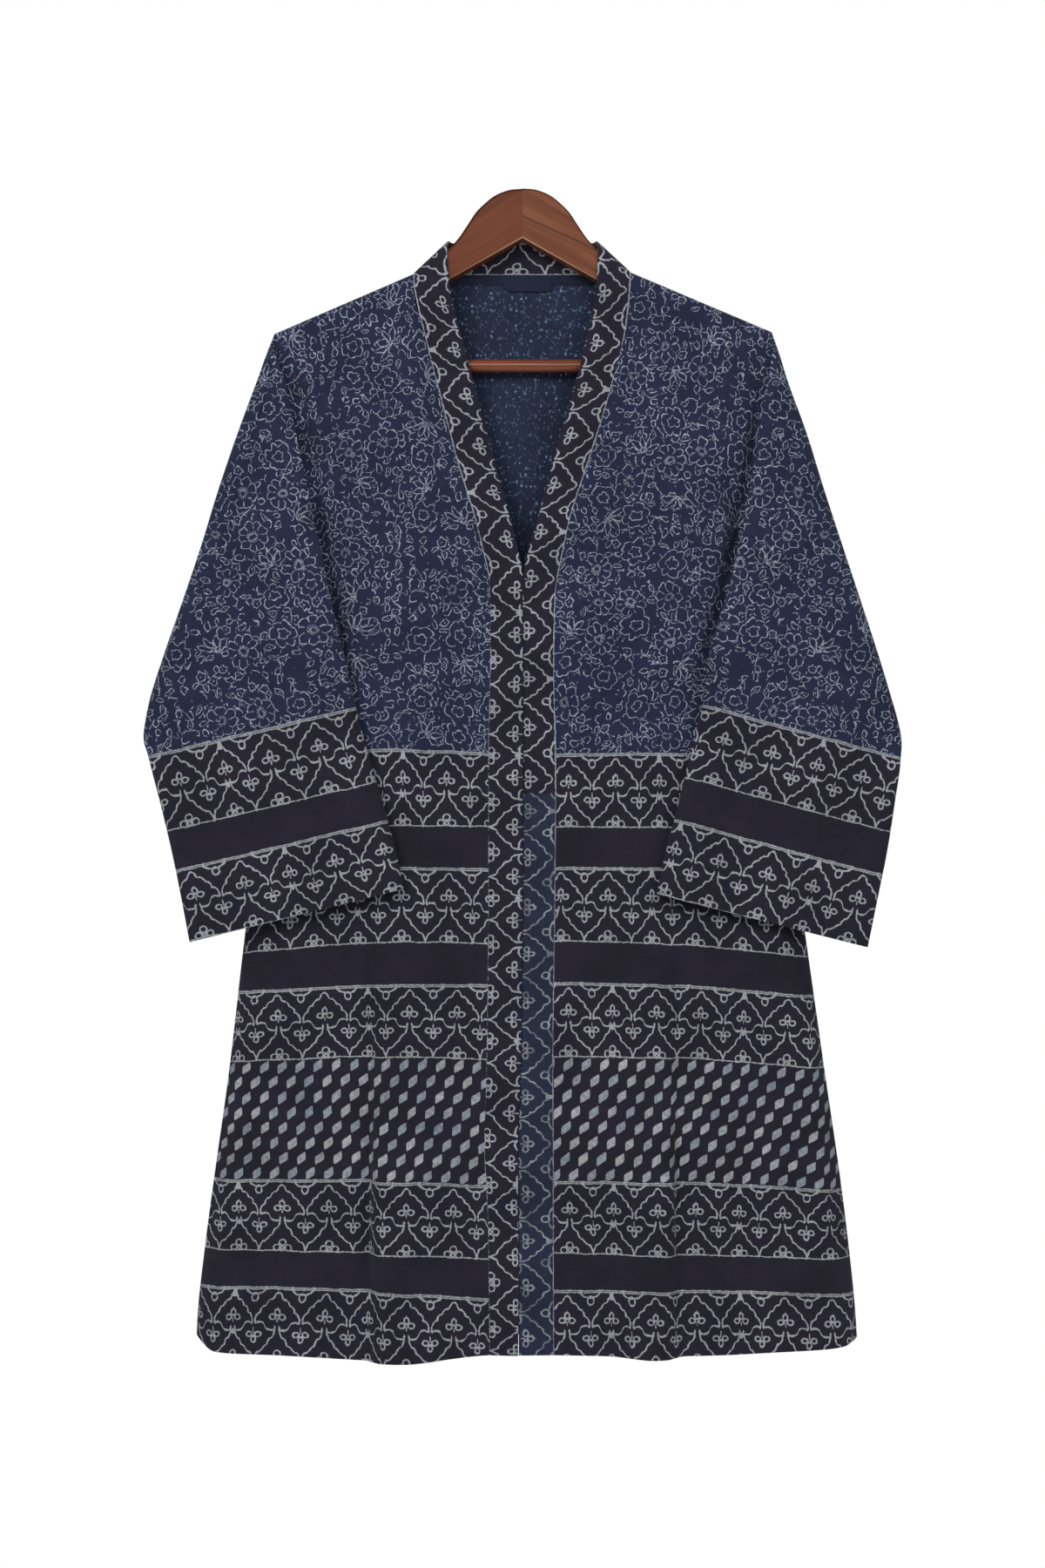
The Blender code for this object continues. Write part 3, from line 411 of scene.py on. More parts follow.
def back_depth(side, x, z):
    """How far the back's outer face stands behind the hanger's middle plane."""
    depth = read_table(BODY_DEPTHS, z, 3)
    neck_bulge = 1 - smooth_step(abs(x), NECK_BULGE_TO, NECK_BULGE_FROM)
    near_neck = 1 - smooth_step(BACK_NECK_Z - z, NECK_BULGE_TOP, NECK_BULGE_FOOT)
    depth += (BACK_NECK_DEPTH - SHOULDER_DEPTH) * neck_bulge * near_neck
    for at, half_width, rise, start in BACK_FOLDS:
        growth = smooth_step(-z, -start, -BACK_FOLD_FULL)
        depth += rise * growth * math.exp(-((x - at) / half_width) ** 2)
    return depth * side_rounding(side, abs(x), z)


def turn_over_shoulder(steps):
    """Depth and drop of each row where the cloth turns over the arm, from the shoulder seam down."""
    rows = [(HALF_GAP, 0.0)]
    for step in range(steps + 1):
        angle = math.pi / 2 * step / steps
        depth = SHOULDER_FLAT + SHOULDER_ROUND * math.sin(angle)
        rows.append((depth, SHOULDER_ROUND * (1 - math.cos(angle))))
    return rows


def rows_down(parts):
    """Each row below the shoulder: its share of the way to the underarm, and from there to the hem."""
    body = parts["body"]
    return [(share, 0.0) for share in parts["armhole"]] + [(1.0, k / body) for k in range(1, body + 1)]


def level_at(start, middle, end, row):
    """A height at one of the rows, from its heights at the shoulder, the underarm and the hem."""
    to_middle, to_end = row
    return start + (middle - start) * to_middle + (end - middle) * to_end


def front_grid(side, parts):
    """Outer points of a front: rows from the shoulder seam to the hem, columns from the side to the band."""
    sign = side_sign(side)
    tip_z = SHOULDER_TIP[side][1]
    neck_z = NECK_POINT[side][1]
    side_end = HEM[side][-1][1]
    seam_end = HEM[side][1][1]

    def distances(z_side, z_seam):
        x_side = side_distance(side, z_side) - HALF_GAP * armhole_share(z_side)
        x_seam = abs(read_table(FRONT_OPENING, z_seam, SEAM_COLUMN[side])) + HALF_GAP
        return [x_side + (x_seam - x_side) * share for share in parts["front"]]

    rows = []
    for depth, drop in turn_over_shoulder(parts["turn"]):
        across = distances(tip_z - drop, neck_z - drop)
        rows.append([(sign * d, -depth, shoulder_z(side, d) - drop) for d in across])
    for place in rows_down(parts):
        row = []
        z_side = level_at(tip_z - SHOULDER_ROUND, UNDERARM[1], side_end, place)
        z_seam = level_at(neck_z - SHOULDER_ROUND, OPENING_FOOT, seam_end, place)
        curved = smooth_step(place[1], HEM_CURVE_FROM, 1.0)
        for share, distance in zip(parts["front"], distances(z_side, z_seam)):
            straight_hem = side_end + (seam_end - side_end) * share
            z = z_side + (z_seam - z_side) * share
            z += (read_table(HEM[side], distance, 1) - straight_hem) * curved
            row.append((sign * distance, -front_depth(side, distance, z) - HALF_GAP, z))
        rows.append(row)
    return np.array(rows)


def back_top_z(side, distance):
    """Height of the back's top edge: the neck seam, then the shoulder seam."""
    neck_x, neck_z = NECK_POINT[side]
    if distance <= neck_x:
        return BACK_NECK_Z + (neck_z - BACK_NECK_Z) * (distance / neck_x) ** BACK_NECK_POWER
    return shoulder_z(side, distance)


def back_distances(side, parts):
    """Distances from the centre of the back's columns, along its top edge."""
    neck_x = NECK_POINT[side][0]
    tip_x = SHOULDER_TIP[side][0]
    at_neck = [neck_x * share for share in parts["neck"]]
    return at_neck + [neck_x + (tip_x - neck_x) * share for share in parts["shoulder"]]


def back_grid(parts):
    """Outer points of the back: rows from the neck and shoulders to the hem, columns from right to left."""
    columns = [("right", distance) for distance in reversed(back_distances("right", parts))]
    columns += [("left", distance) for distance in back_distances("left", parts)[1:]]
    rows = []
    turn = turn_over_shoulder(parts["turn"])
    for k, (depth, drop) in enumerate(turn):
        row = []
        for side, distance in columns:
            neck_x = NECK_POINT[side][0]
            over_arm = smooth_step(distance, neck_x - NECK_CORNER, neck_x)
            even_drop = SHOULDER_ROUND * k / (len(turn) - 1)
            z = back_top_z(side, distance) - drop * over_arm - even_drop * (1 - over_arm)
            flat = back_depth(side, distance, z - SHOULDER_ROUND)
            x = side_sign(side) * (distance - HALF_GAP * distance / SHOULDER_TIP[side][0])
            row.append((x, depth * over_arm + flat * (1 - over_arm), z))
        rows.append(row)
    for place in rows_down(parts):
        row = []
        for side, top_distance in columns:
            share = top_distance / SHOULDER_TIP[side][0]
            tip_z = SHOULDER_TIP[side][1]
            z_side = level_at(tip_z - SHOULDER_ROUND, UNDERARM[1], HEM[side][-1][1], place)
            distance = (side_distance(side, z_side) - HALF_GAP * armhole_share(z_side)) * share
            hem = read_table(HEM[side], HEM[side][-1][0] * share, 1)
            hem += BACK_HEM_LIFT * (1 - share ** BACK_HEM_POWER)
            z = level_at(back_top_z(side, top_distance) - SHOULDER_ROUND, UNDERARM[1], hem, place)
            row.append((side_sign(side) * distance, back_depth(side, distance, z) + HALF_GAP, z))
        rows.append(row)
    return np.array(rows)


def point_at_height(edge, z):
    """The point at a height on a panel's edge, which is a list of points going down."""
    for above, below in zip(edge, edge[1:]):
        if below[2] <= z <= above[2]:
            return above + (below - above) * (above[2] - z) / (above[2] - below[2])
    return edge[-1] if z < edge[-1][2] else edge[0]


def band_row(side, seam_point):
    """Seam and free edge points of the band beside a point of the front's edge."""
    sign = side_sign(side)
    x, y, z = seam_point
    lift = BAND_LIFT + (RIGHT_OVER_LEFT if side == "right" else 0.0) * smooth_step(-z, -LAP_FROM, -LAP_FULL)
    edge = (read_table(FRONT_OPENING, z, EDGE_COLUMN[side]), y - lift, z)
    return (x + sign * TUCK_ACROSS, y + TUCK_BEHIND, z), edge


def neck_turn_rows(side, front_edge, back_edge):
    """Seam and free edge points from the front over the shoulder to the middle of the back neck."""
    sign = side_sign(side)
    rows = []
    for k, (edge, point) in enumerate(zip(NECK_EDGE, list(front_edge) + list(back_edge))):
        over = smooth_step(k, len(front_edge) - 2, len(front_edge) + 2)
        tucked = np.array((sign * TUCK_ACROSS, TUCK_BEHIND, 0)) * (1 - over)
        rows.append((point + tucked + np.array((0, 0, SEWN_GAP * over)), (sign * edge[0], edge[1], edge[2])))
    return rows


def sleeve_corners(form, front_length, back_length, depths):
    """Corners of a section's middle line, as distances from the fold and depths, in SLEEVE_CORNERS' order."""
    back, front, lower, upper = depths
    near = CLOTH / 2
    inner = front_length - near
    under = back_length - near
    spare = [near + SPARE_FROM + SPARE_CORNERS * k for k in (1, 2, 3, 4)]
    if form == "armhole":
        spare = [SHOULDER_ROUND + step for step in spare]
        lifted = [(step, front) for step in reversed(spare)]
        return lifted + [(near, front), (near, back), (under, back), (under, front)]
    if form == "rise":
        lifted = [(inner, front + (upper - front) * k / 3) for k in range(4)]
        return lifted + [(near, upper), (near, back), (under, back), (under, front)]
    if form == "folded":
        pocket = min(POCKET_DEPTH, POCKET_SHARE * front_length, POCKET_SHARE * back_length) + near
        return [(pocket, front), (pocket, lower), (inner, lower), (inner, upper),
                (near, upper), (near, back), (under, back), (under, front)]
    if form == "close":
        step = [(under, back + (lower - back) * k / 3) for k in range(4)]
        return step[2:] + [(inner, lower), (inner, upper), (near, upper), (near, back)] + step[:2]
    flat = [(step, lower) for step in spare]
    return flat[2:] + [(inner, lower), (inner, upper), (near, upper), (near, lower)] + flat[:2]


def rounded_outline(corners, form):
    """Points round a section: an arc at each corner, and points spaced along each wall."""
    corners = [np.array(corner) for corner in corners]
    arcs = []
    for k, (corner, (part, wanted, count, _)) in enumerate(zip(corners, SLEEVE_CORNERS)):
        before = corners[k - 1] - corner
        after = corners[(k + 1) % len(corners)] - corner
        if form == "armhole" and part.startswith("fold"):
            wanted = SHOULDER_ROUND - CLOTH / 2
        start = corner + before * min(LARGEST_CUT, wanted / np.linalg.norm(before))
        end = corner + after * min(LARGEST_CUT, wanted / np.linalg.norm(after))
        arc = []
        for step in range(count):
            angle = math.pi / 2 * step / (count - 1)
            arc.append(start + (corner - start) * math.sin(angle) + (end - corner) * (1 - math.cos(angle)))
        arcs.append(arc)
    points = []
    for k, (arc, (_, _, _, count)) in enumerate(zip(arcs, SLEEVE_CORNERS)):
        points += arc
        start, end = arc[-1], arcs[(k + 1) % len(arcs)][0]
        points += [start + (end - start) * step / (count + 1) for step in range(1, count + 1)]
    return np.array(points)


def moved_outward(line, distance):
    """A closed line's points, moved outward by a distance."""
    steps = np.roll(line, -1, axis=0) - line
    steps /= np.linalg.norm(steps, axis=1, keepdims=True)
    along = steps + np.roll(steps, 1, axis=0)
    normals = np.stack([along[:, 1], -along[:, 0]], axis=1)
    normals /= np.linalg.norm(normals, axis=1, keepdims=True)
    area = 0.5 * np.sum(line[:, 0] * np.roll(line[:, 1], -1) - np.roll(line[:, 0], -1) * line[:, 1])
    return line + normals * distance * (-1 if area < 0 else 1)


def sleeve_rings(side):
    """Outer points of the sleeve's rings, and each point's cloth coordinates, across and down."""
    sign = side_sign(side)
    places = SLEEVE_PLACES[side]
    elbow = [row[0] for row in SLEEVE_WALLS].index("flat")
    elbow_at = np.array(places[elbow][2:])
    underarm = np.array(UNDERARM)
    tip = np.array(places[0][2:])
    fold_way = (elbow_at - tip) / np.linalg.norm(elbow_at - tip)
    down, across = sleeve_grain(side)
    back_down, back_across = [2 * (way @ fold_way) * fold_way - way for way in (down, across)]
    rings, flats = [], []
    for place, (form, reach, *depths) in zip(places, SLEEVE_WALLS):
        inner_edge, fold_at = np.array(place[:2]), np.array(place[2:])
        under = underarm + (elbow_at - underarm) * reach
        front_length = np.linalg.norm(inner_edge - fold_at)
        back_length = np.linalg.norm(under - fold_at)
        towards_front = (inner_edge - fold_at) / max(front_length, CLOTH)
        towards_back = (under - fold_at) / max(back_length, CLOTH)
        line = rounded_outline(sleeve_corners(form, front_length, back_length, depths), form)
        front, lower = depths[1] - CLOTH / 2, depths[2] + CLOTH / 2
        all_behind = {"armhole": 1.0, "flat": 0.0}
        ring, flat = [], []
        for at, y in moved_outward(line, CLOTH / 2):
            behind = all_behind.get(form, smooth_step(y, lower, front) if front > lower else 0.0)
            x, z = fold_at + (towards_front * (1 - behind) + towards_back * behind) * at
            ring.append((sign * (x + (SEAM_GAP if form == "armhole" else 0.0)), y, z))
            in_front = fold_at - tip + towards_front * at
            at_back = fold_at - tip + towards_back * at
            u = (in_front @ across) * (1 - behind) + (at_back @ back_across) * behind
            v = (in_front @ down) * (1 - behind) + (at_back @ back_down) * behind
            flat.append((u, v))
        rings.append(ring)
        flats.append(flat)
    return np.array(rings), np.array(flats)


# How far the sleeves' grain leans in, going down
SLEEVE_GRAIN = {"right": math.radians(13.2), "left": math.radians(15.0)}


def sleeve_grain(side):
    """Directions along and across the folded sleeve's cloth, with x as the distance from the centre."""
    lean = SLEEVE_GRAIN[side]
    return np.array((-math.sin(lean), -math.cos(lean))), np.array((-math.cos(lean), math.sin(lean)))


def smooth_along(values, knots, places):
    """Values along the first axis, on smooth curves through the knots."""
    steps = np.diff(knots)
    slopes = np.diff(values, axis=0) / steps[:, None, None]
    tangents = np.empty_like(values)
    before, after = steps[:-1, None, None], steps[1:, None, None]
    tangents[1:-1] = (slopes[:-1] * after + slopes[1:] * before) / (before + after)
    tangents[0], tangents[-1] = slopes[0], slopes[-1]
    k = np.clip(np.searchsorted(knots, places, side="right") - 1, 0, len(steps) - 1)
    step = steps[k][:, None, None]
    t = ((places - knots[k]) / steps[k])[:, None, None]
    return curve_between(t, step, values[k], values[k + 1], tangents[k], tangents[k + 1])


def spaced(knots, spacing):
    """Places from the first knot to the last, every knot among them, at most the spacing apart."""
    places = []
    for low, high in zip(knots, knots[1:]):
        parts = max(1, math.ceil((high - low) / spacing))
        places += list(np.linspace(low, high, parts, endpoint=False))
    return np.array(places + [knots[-1]])


def refine(values, spacing):
    """A grid with more rows: the first three numbers of each entry are its place."""
    steps = np.linalg.norm(np.diff(values[..., :3], axis=0), axis=2).mean(axis=1)
    knots = np.concatenate([[0], np.cumsum(steps)])
    return smooth_along(values, knots, spaced(knots, spacing))


def grid_normals(grid, towards=None, ring=False):
    """Unit normals of a grid of points, pointing towards a direction, or outward on a ring."""
    if ring:
        across = np.roll(grid, -1, axis=1) - np.roll(grid, 1, axis=1)
    else:
        across = np.gradient(grid, axis=1)
    down = np.gradient(grid, axis=0)
    normals = np.cross(across, down)
    normals /= np.maximum(np.linalg.norm(normals, axis=2, keepdims=True), 1e-12)
    if ring:
        centre = grid.mean(axis=1, keepdims=True)
        outward = ((grid - centre) * normals).sum()
        return normals if outward > 0 else -normals
    return normals if (normals @ np.array(towards)).mean() > 0 else -normals


def hem_thickness(grid):
    """Shell thickness at each point: twice the cloth where the hem is turned up."""
    from_hem = np.linalg.norm(grid - grid[-1], axis=2)
    share = np.clip((from_hem - HEM_FOLD) / HEM_EDGE, 0, 1)
    return (HEM_SHELL + (SHELL - HEM_SHELL) * share)[..., None]


def panel_inside(grid, towards, side_columns):
    """Inner points of a panel's shell, whose edges at the side seams stay in the seams' planes."""
    normals = grid_normals(grid, towards)
    normals[:, (0, -1), 0] = 0
    normals /= np.linalg.norm(normals, axis=2, keepdims=True)
    for column in side_columns:
        sewn = grid[:, column, 2] < UNDERARM[1] + HALF_GAP
        normals[sewn, column] = (np.sign(grid[0, column, 0]), 0, 0)
    return grid - normals * hem_thickness(grid)


def place_mesh(mesh, materials, sharp_angle):
    """An object of the mesh's own name, smooth but for edges sharper than an angle in degrees."""
    for material in materials:
        mesh.materials.append(material)
    mesh.shade_smooth()
    mesh.set_sharp_from_angle(angle=math.radians(sharp_angle))
    made = bpy.data.objects.new(mesh.name, mesh)
    bpy.context.scene.collection.objects.link(made)
    return made


def shell(name, outer, inner, flat_outer, flat_inner, materials, ring=False):
    """A closed thin shell between two grids, with its cloth coordinates as the UV map flat."""
    rows, columns = outer.shape[:2]
    below = rows * columns
    places = np.concatenate([outer.reshape(-1, 3), inner.reshape(-1, 3)])
    flats = np.concatenate([flat_outer.reshape(-1, 2), flat_inner.reshape(-1, 2)])
    at = np.arange(below).reshape(rows, columns)
    if ring:
        at = np.concatenate([at, at[:, :1]], axis=1)
    quads = np.stack([at[:-1, :-1], at[:-1, 1:], at[1:, 1:], at[1:, :-1]], axis=-1).reshape(-1, 4)
    faces = [quads, quads[:, ::-1] + below]
    edges = [(at[0], 1), (at[-1], -1)]
    if not ring:
        edges += [(at[:, 0], -1), (at[:, -1], 1)]
    for edge, turn in edges:
        strip = np.stack([edge[1:], edge[:-1], edge[:-1] + below, edge[1:] + below], axis=-1)
        faces.append(strip[:, ::turn])
    faces = np.concatenate(faces)
    mesh = bpy.data.meshes.new(name)
    mesh.from_pydata(places.tolist(), [], faces.tolist())
    layer = mesh.uv_layers.new(name="flat")
    corners = np.empty(len(mesh.loops), dtype=np.int32)
    mesh.loops.foreach_get("vertex_index", corners)
    layer.data.foreach_set("uv", flats[corners].astype(np.float32).ravel())
    slots = np.zeros(len(faces), dtype=np.int32)
    if len(materials) > 1:
        slots[len(quads):2 * len(quads)] = 1
    mesh.polygons.foreach_set("material_index", slots)
    work = bmesh.new()
    work.from_mesh(mesh)
    bmesh.ops.recalc_face_normals(work, faces=work.faces)
    work.to_mesh(mesh)
    work.free()
    return place_mesh(mesh, materials, CLOTH_SHARP_ANGLE)


def press(grid, normals, creases, fade):
    """Moves the points out along their normals by each crease's rise; fade holds some of them still."""
    x, z = grid[..., 0], grid[..., 2]
    moved = np.zeros(grid.shape[:2])
    for top_x, top_z, foot_x, foot_z, half_width, rise in creases:
        way = np.array((foot_x - top_x, foot_z - top_z))
        length = np.linalg.norm(way)
        way /= length
        along = ((x - top_x) * way[0] + (z - top_z) * way[1]) / length
        off = (x - top_x) * way[1] - (z - top_z) * way[0]
        ends = np.clip(along / CREASE_END, 0, 1) * np.clip((1 - along) / CREASE_END, 0, 1)
        ends = ends * ends * (3 - 2 * ends)
        bend = CREASE_BEND * half_width * np.sin(along * CREASE_WAVE + top_x * CREASE_SHIFT)
        moved += rise * ends * np.exp(-(((off + bend) / half_width) ** 2))
    return grid + normals * (moved * fade)[..., None]


# Creases: x and z of the top and the foot, half width, and rise (a trough has a negative one)
FRONT_CREASES = {
    "right": [
        (-0.130, -0.600, -0.133, -0.990, 0.0035, -0.0035),
        (-0.118, -0.640, -0.119, -0.995, 0.0060, 0.0029),
        (-0.041, -0.560, -0.043, -0.990, 0.0050, -0.0021),
        (-0.072, -0.380, -0.060, -0.700, 0.0140, -0.0016),
        (-0.168, -0.640, -0.190, -0.980, 0.0130, 0.0036),
        (-0.215, -0.660, -0.245, -0.985, 0.0100, -0.0032),
        (-0.120, -0.150, -0.075, -0.330, 0.0120, -0.0016),
        (-0.150, -0.170, -0.120, -0.420, 0.0150, 0.0018),
        (-0.055, -0.300, -0.050, -0.480, 0.0100, 0.0014),
        (-0.088, -0.720, -0.092, -0.990, 0.0060, -0.0021),
        (-0.205, -0.125, -0.143, -0.450, 0.0075, -0.0085),
    ],
    "left": [
        (0.131, -0.600, 0.134, -0.990, 0.0035, -0.0032),
        (0.120, -0.640, 0.121, -0.990, 0.0060, 0.0022),
        (0.038, -0.540, 0.040, -0.990, 0.0050, -0.0021),
        (0.070, -0.400, 0.062, -0.720, 0.0140, -0.0014),
        (0.160, -0.620, 0.158, -0.985, 0.0070, -0.0031),
        (0.194, -0.640, 0.200, -0.985, 0.0100, -0.0032),
        (0.240, -0.640, 0.262, -0.970, 0.0110, 0.0029),
        (0.118, -0.150, 0.080, -0.340, 0.0120, -0.0016),
        (0.155, -0.170, 0.125, -0.430, 0.0150, 0.0018),
        (0.052, -0.320, 0.052, -0.500, 0.0100, 0.0014),
        (0.237, -0.655, 0.245, -0.700, 0.0022, -0.0035),
        (0.212, -0.125, 0.179, -0.340, 0.0070, -0.0085),
        (0.198, -0.245, 0.146, -0.450, 0.0070, -0.0080),
        (0.179, -0.225, 0.182, -0.345, 0.0045, -0.0050),
        (0.182, -0.300, 0.156, -0.410, 0.0060, -0.0024),
    ],
}
BACK_CREASES = [
    (-0.150, -0.150, -0.100, -0.480, 0.0140, 0.0016),
    (0.145, -0.150, 0.110, -0.500, 0.0150, 0.0015),
    (0.000, -0.110, 0.012, -0.400, 0.0120, -0.0012),
    (0.028, -0.130, 0.036, -0.300, 0.0030, -0.0010),
    (-0.060, -0.420, -0.070, -0.990, 0.0110, -0.0018),
    (-0.165, -0.520, -0.185, -0.990, 0.0100, -0.0020),
    (0.050, -0.450, 0.046, -0.985, 0.0120, -0.0018),
    (0.145, -0.500, 0.165, -0.985, 0.0090, -0.0020),
    (0.225, -0.520, 0.250, -0.975, 0.0100, -0.0014),
    (-0.235, -0.600, -0.255, -0.980, 0.0090, -0.0013),
]
SLEEVE_CREASES = {
    "right": [
        (-0.215, -0.150, -0.205, -0.420, 0.0120, 0.0012),
        (-0.235, -0.210, -0.225, -0.500, 0.0150, -0.0014),
        (-0.275, -0.330, -0.230, -0.560, 0.0150, 0.0012),
        (-0.300, -0.440, -0.250, -0.640, 0.0100, -0.0010),
        (-0.178, -0.330, -0.120, -0.560, 0.0060, -0.0008),
        (-0.200, -0.470, -0.150, -0.620, 0.0140, 0.0010),
    ],
    "left": [
        (0.218, -0.150, 0.212, -0.420, 0.0120, 0.0012),
        (0.238, -0.210, 0.228, -0.500, 0.0150, -0.0014),
        (0.278, -0.330, 0.240, -0.560, 0.0150, 0.0012),
        (0.305, -0.440, 0.262, -0.640, 0.0100, -0.0010),
        (0.186, -0.330, 0.135, -0.560, 0.0060, -0.0008),
        (0.210, -0.470, 0.165, -0.620, 0.0140, 0.0010),
    ],
}

# Print lines: depth below the origin in the cloth, then where each hangs, from the side in to the band
PRINT_LINES = {
    "right": [  # cloth, side, middle, band
        (0.0000, 0.0000, 0.0000, 0.0000),
        (0.4830, 0.4819, 0.4795, 0.4835),
        (0.5460, 0.5480, 0.5450, 0.5455),
        (0.5815, 0.5835, 0.5810, 0.5818),
        (0.6445, 0.6545, 0.6450, 0.6455),
        (0.6800, 0.6873, 0.6815, 0.6803),
        (0.7430, 0.7470, 0.7417, 0.7432),
        (0.8480, 0.8475, 0.8464, 0.8503),
        (0.9110, 0.9060, 0.9075, 0.9120),
        (0.9430, 0.9378, 0.9390, 0.9460),
        (1.0060, 1.0000, 1.0030, 1.0090),
    ],
    "left": [
        (0.0000, 0.0000, 0.0000, 0.0000),
        (0.4830, 0.4860, 0.4837, 0.4846),
        (0.5460, 0.5480, 0.5465, 0.5460),
        (0.5815, 0.5840, 0.5815, 0.5807),
        (0.6445, 0.6575, 0.6466, 0.6433),
        (0.6800, 0.6910, 0.6815, 0.6788),
        (0.7430, 0.7525, 0.7432, 0.7410),
        (0.8480, 0.8564, 0.8490, 0.8468),
        (0.9110, 0.9142, 0.9105, 0.9067),
        (0.9430, 0.9450, 0.9405, 0.9385),
        (1.0060, 1.0080, 1.0040, 1.0015),
    ],
}
BACK_PRINT_START, BACK_PRINT_SHARE = 0.35, 0.6


def print_height(side, share, z):
    """Depth in the cloth of a point at a height and a share of the way from the side to the band."""
    table = PRINT_LINES[side]
    hangs = []
    for _, at_side, middle, at_band in table:
        curve = at_side * (1 - share) * (1 - 2 * share) + 4 * middle * share * (1 - share)
        hangs.append(curve + at_band * share * (2 * share - 1))
    return float(np.interp(-z, hangs, [row[0] for row in table]))


def across_cloth(grid, start_column):
    """Distance along each row of the grid from one column, negative to its left."""
    steps = np.linalg.norm(np.diff(grid, axis=1), axis=2)
    travelled = np.concatenate([np.zeros((len(grid), 1)), np.cumsum(steps, axis=1)], axis=1)
    return travelled - travelled[:, start_column:start_column + 1]


def crease_panel(grid, creases, towards):
    """The panel with its creases, which fade out at the shoulder and along both of its long edges."""
    fade = np.clip((grid[:1, :, 2] - grid[..., 2] - SHOULDER_STILL) / SHOULDER_FADE, 0, 1)
    for edge in (grid[:, :1], grid[:, -1:]):
        fade = fade * np.clip(np.linalg.norm(grid - edge, axis=2) / EDGE_FADE, 0, 1)
    return press(grid, grid_normals(grid, towards), creases, fade)


def meet_at_side_seam(side, grid):
    """Below the underarm a front's side edge lies on the back's, and the cloth beside it eases over."""
    beside = np.clip(np.linalg.norm(grid - grid[:, :1], axis=2) / SEAM_EASE, 0, 1)
    moved = grid.copy()
    for row, z in enumerate(grid[:, 0, 2]):
        if z < UNDERARM[1]:
            shift = HALF_GAP - SEWN_GAP - grid[row, 0, 1]
            moved[row, :, 1] += shift * (1 - beside[row] ** 2 * (3 - 2 * beside[row]))
            moved[row, 0, 0] = side_sign(side) * side_distance(side, z)
    return moved


def make_front(side, materials):
    """A front panel, printed in rows that follow the heights at which they hang."""
    forward = (0, -1, 0)
    grid = crease_panel(front_grid(side, FINE), FRONT_CREASES[side], forward)
    grid = meet_at_side_seam(side, grid)
    inner = panel_inside(grid, forward, (0,))
    travelled = across_cloth(grid[:, ::-1], 0)[:, ::-1]
    u = side_sign(side) * (np.abs(grid[:, -1:, 0]) + travelled)
    v = [[print_height(side, share, z) for share, z in zip(FINE["front"], row)] for row in grid[..., 2]]
    flat = np.stack([u, np.array(v)], axis=-1)
    node = side + "_front"
    dress(shell(node + "_cloth", grid, inner, flat, flat, materials), node)


def dress(piece, node):
    """The piece stands for a node, whose own part is hidden, and hangs from the root body."""
    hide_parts(node)
    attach(piece, "root")


def make_back(materials):
    """The back panel. Returns the points of its inside, which the trims are sewn to."""
    backward = (0, 1, 0)
    grid = crease_panel(back_grid(FINE), BACK_CREASES, backward)
    inner = panel_inside(grid, backward, (0, -1))
    u = across_cloth(grid, grid.shape[1] // 2) + BACK_PRINT_START
    v = [[print_height("right", BACK_PRINT_SHARE, z) for z in row] for row in grid[..., 2]]
    flat = np.stack([u, np.array(v)], axis=-1)
    dress(shell("back_cloth", grid, inner, flat, flat, materials), "back")
    return inner


def make_sleeve(side, materials):
    """A sleeve: one flat tube, folded forward at the shoulder."""
    together = np.concatenate(sleeve_rings(side), axis=2)
    count = together.shape[1]
    wrapped = np.concatenate([together[:, -WRAP:], together, together[:, :WRAP + 1]], axis=1)
    steps = np.linalg.norm(np.diff(wrapped[..., :3], axis=1), axis=2).mean(axis=0)
    knots = np.concatenate([[0], np.cumsum(steps)])
    round_tube = spaced(knots[WRAP:WRAP + 1 + count], SLEEVE_SPACING)[:-1]
    fine = smooth_along(wrapped.transpose(1, 0, 2), knots, round_tube).transpose(1, 0, 2)
    fine = refine(fine, SLEEVE_SPACING)
    grid = fine[..., :3]
    normals = grid_normals(grid, ring=True)
    seen = np.clip(-normals[..., 1], 0, 1)
    from_armhole = np.linalg.norm(grid - grid[:1].mean(axis=1, keepdims=True), axis=2)
    from_armhole = np.clip((from_armhole - ARMHOLE_STILL) / ARMHOLE_FADE, 0, 1)
    grid = press(grid, normals, SLEEVE_CREASES[side], seen * from_armhole)
    inner = grid - grid_normals(grid, ring=True) * hem_thickness(grid)
    flat = fine[..., 3:]
    made = shell(side + "_sleeve_cloth", grid, inner, flat, flat, materials, ring=True)
    dress(made, side + "_sleeve")


# The band is one printed border folded along its middle, with its seam at one line of the border or the other
BORDER_HEIGHT = 0.0633
BAND_TOP_SEAM = 0.0622
BAND_BASE_SEAM = -0.0002
BAND_COLUMNS = 9
BAND_SPACING = 0.005
BAND_PUFF_SHARE = 1 / 6
BAND_EDGE_SHARE = 0.07
BAND_PRINT = {"right": (0.0960, 1.00), "left": (0.0880, 1.00), "neck": (0.0097, 0.96)}  # start, stretch


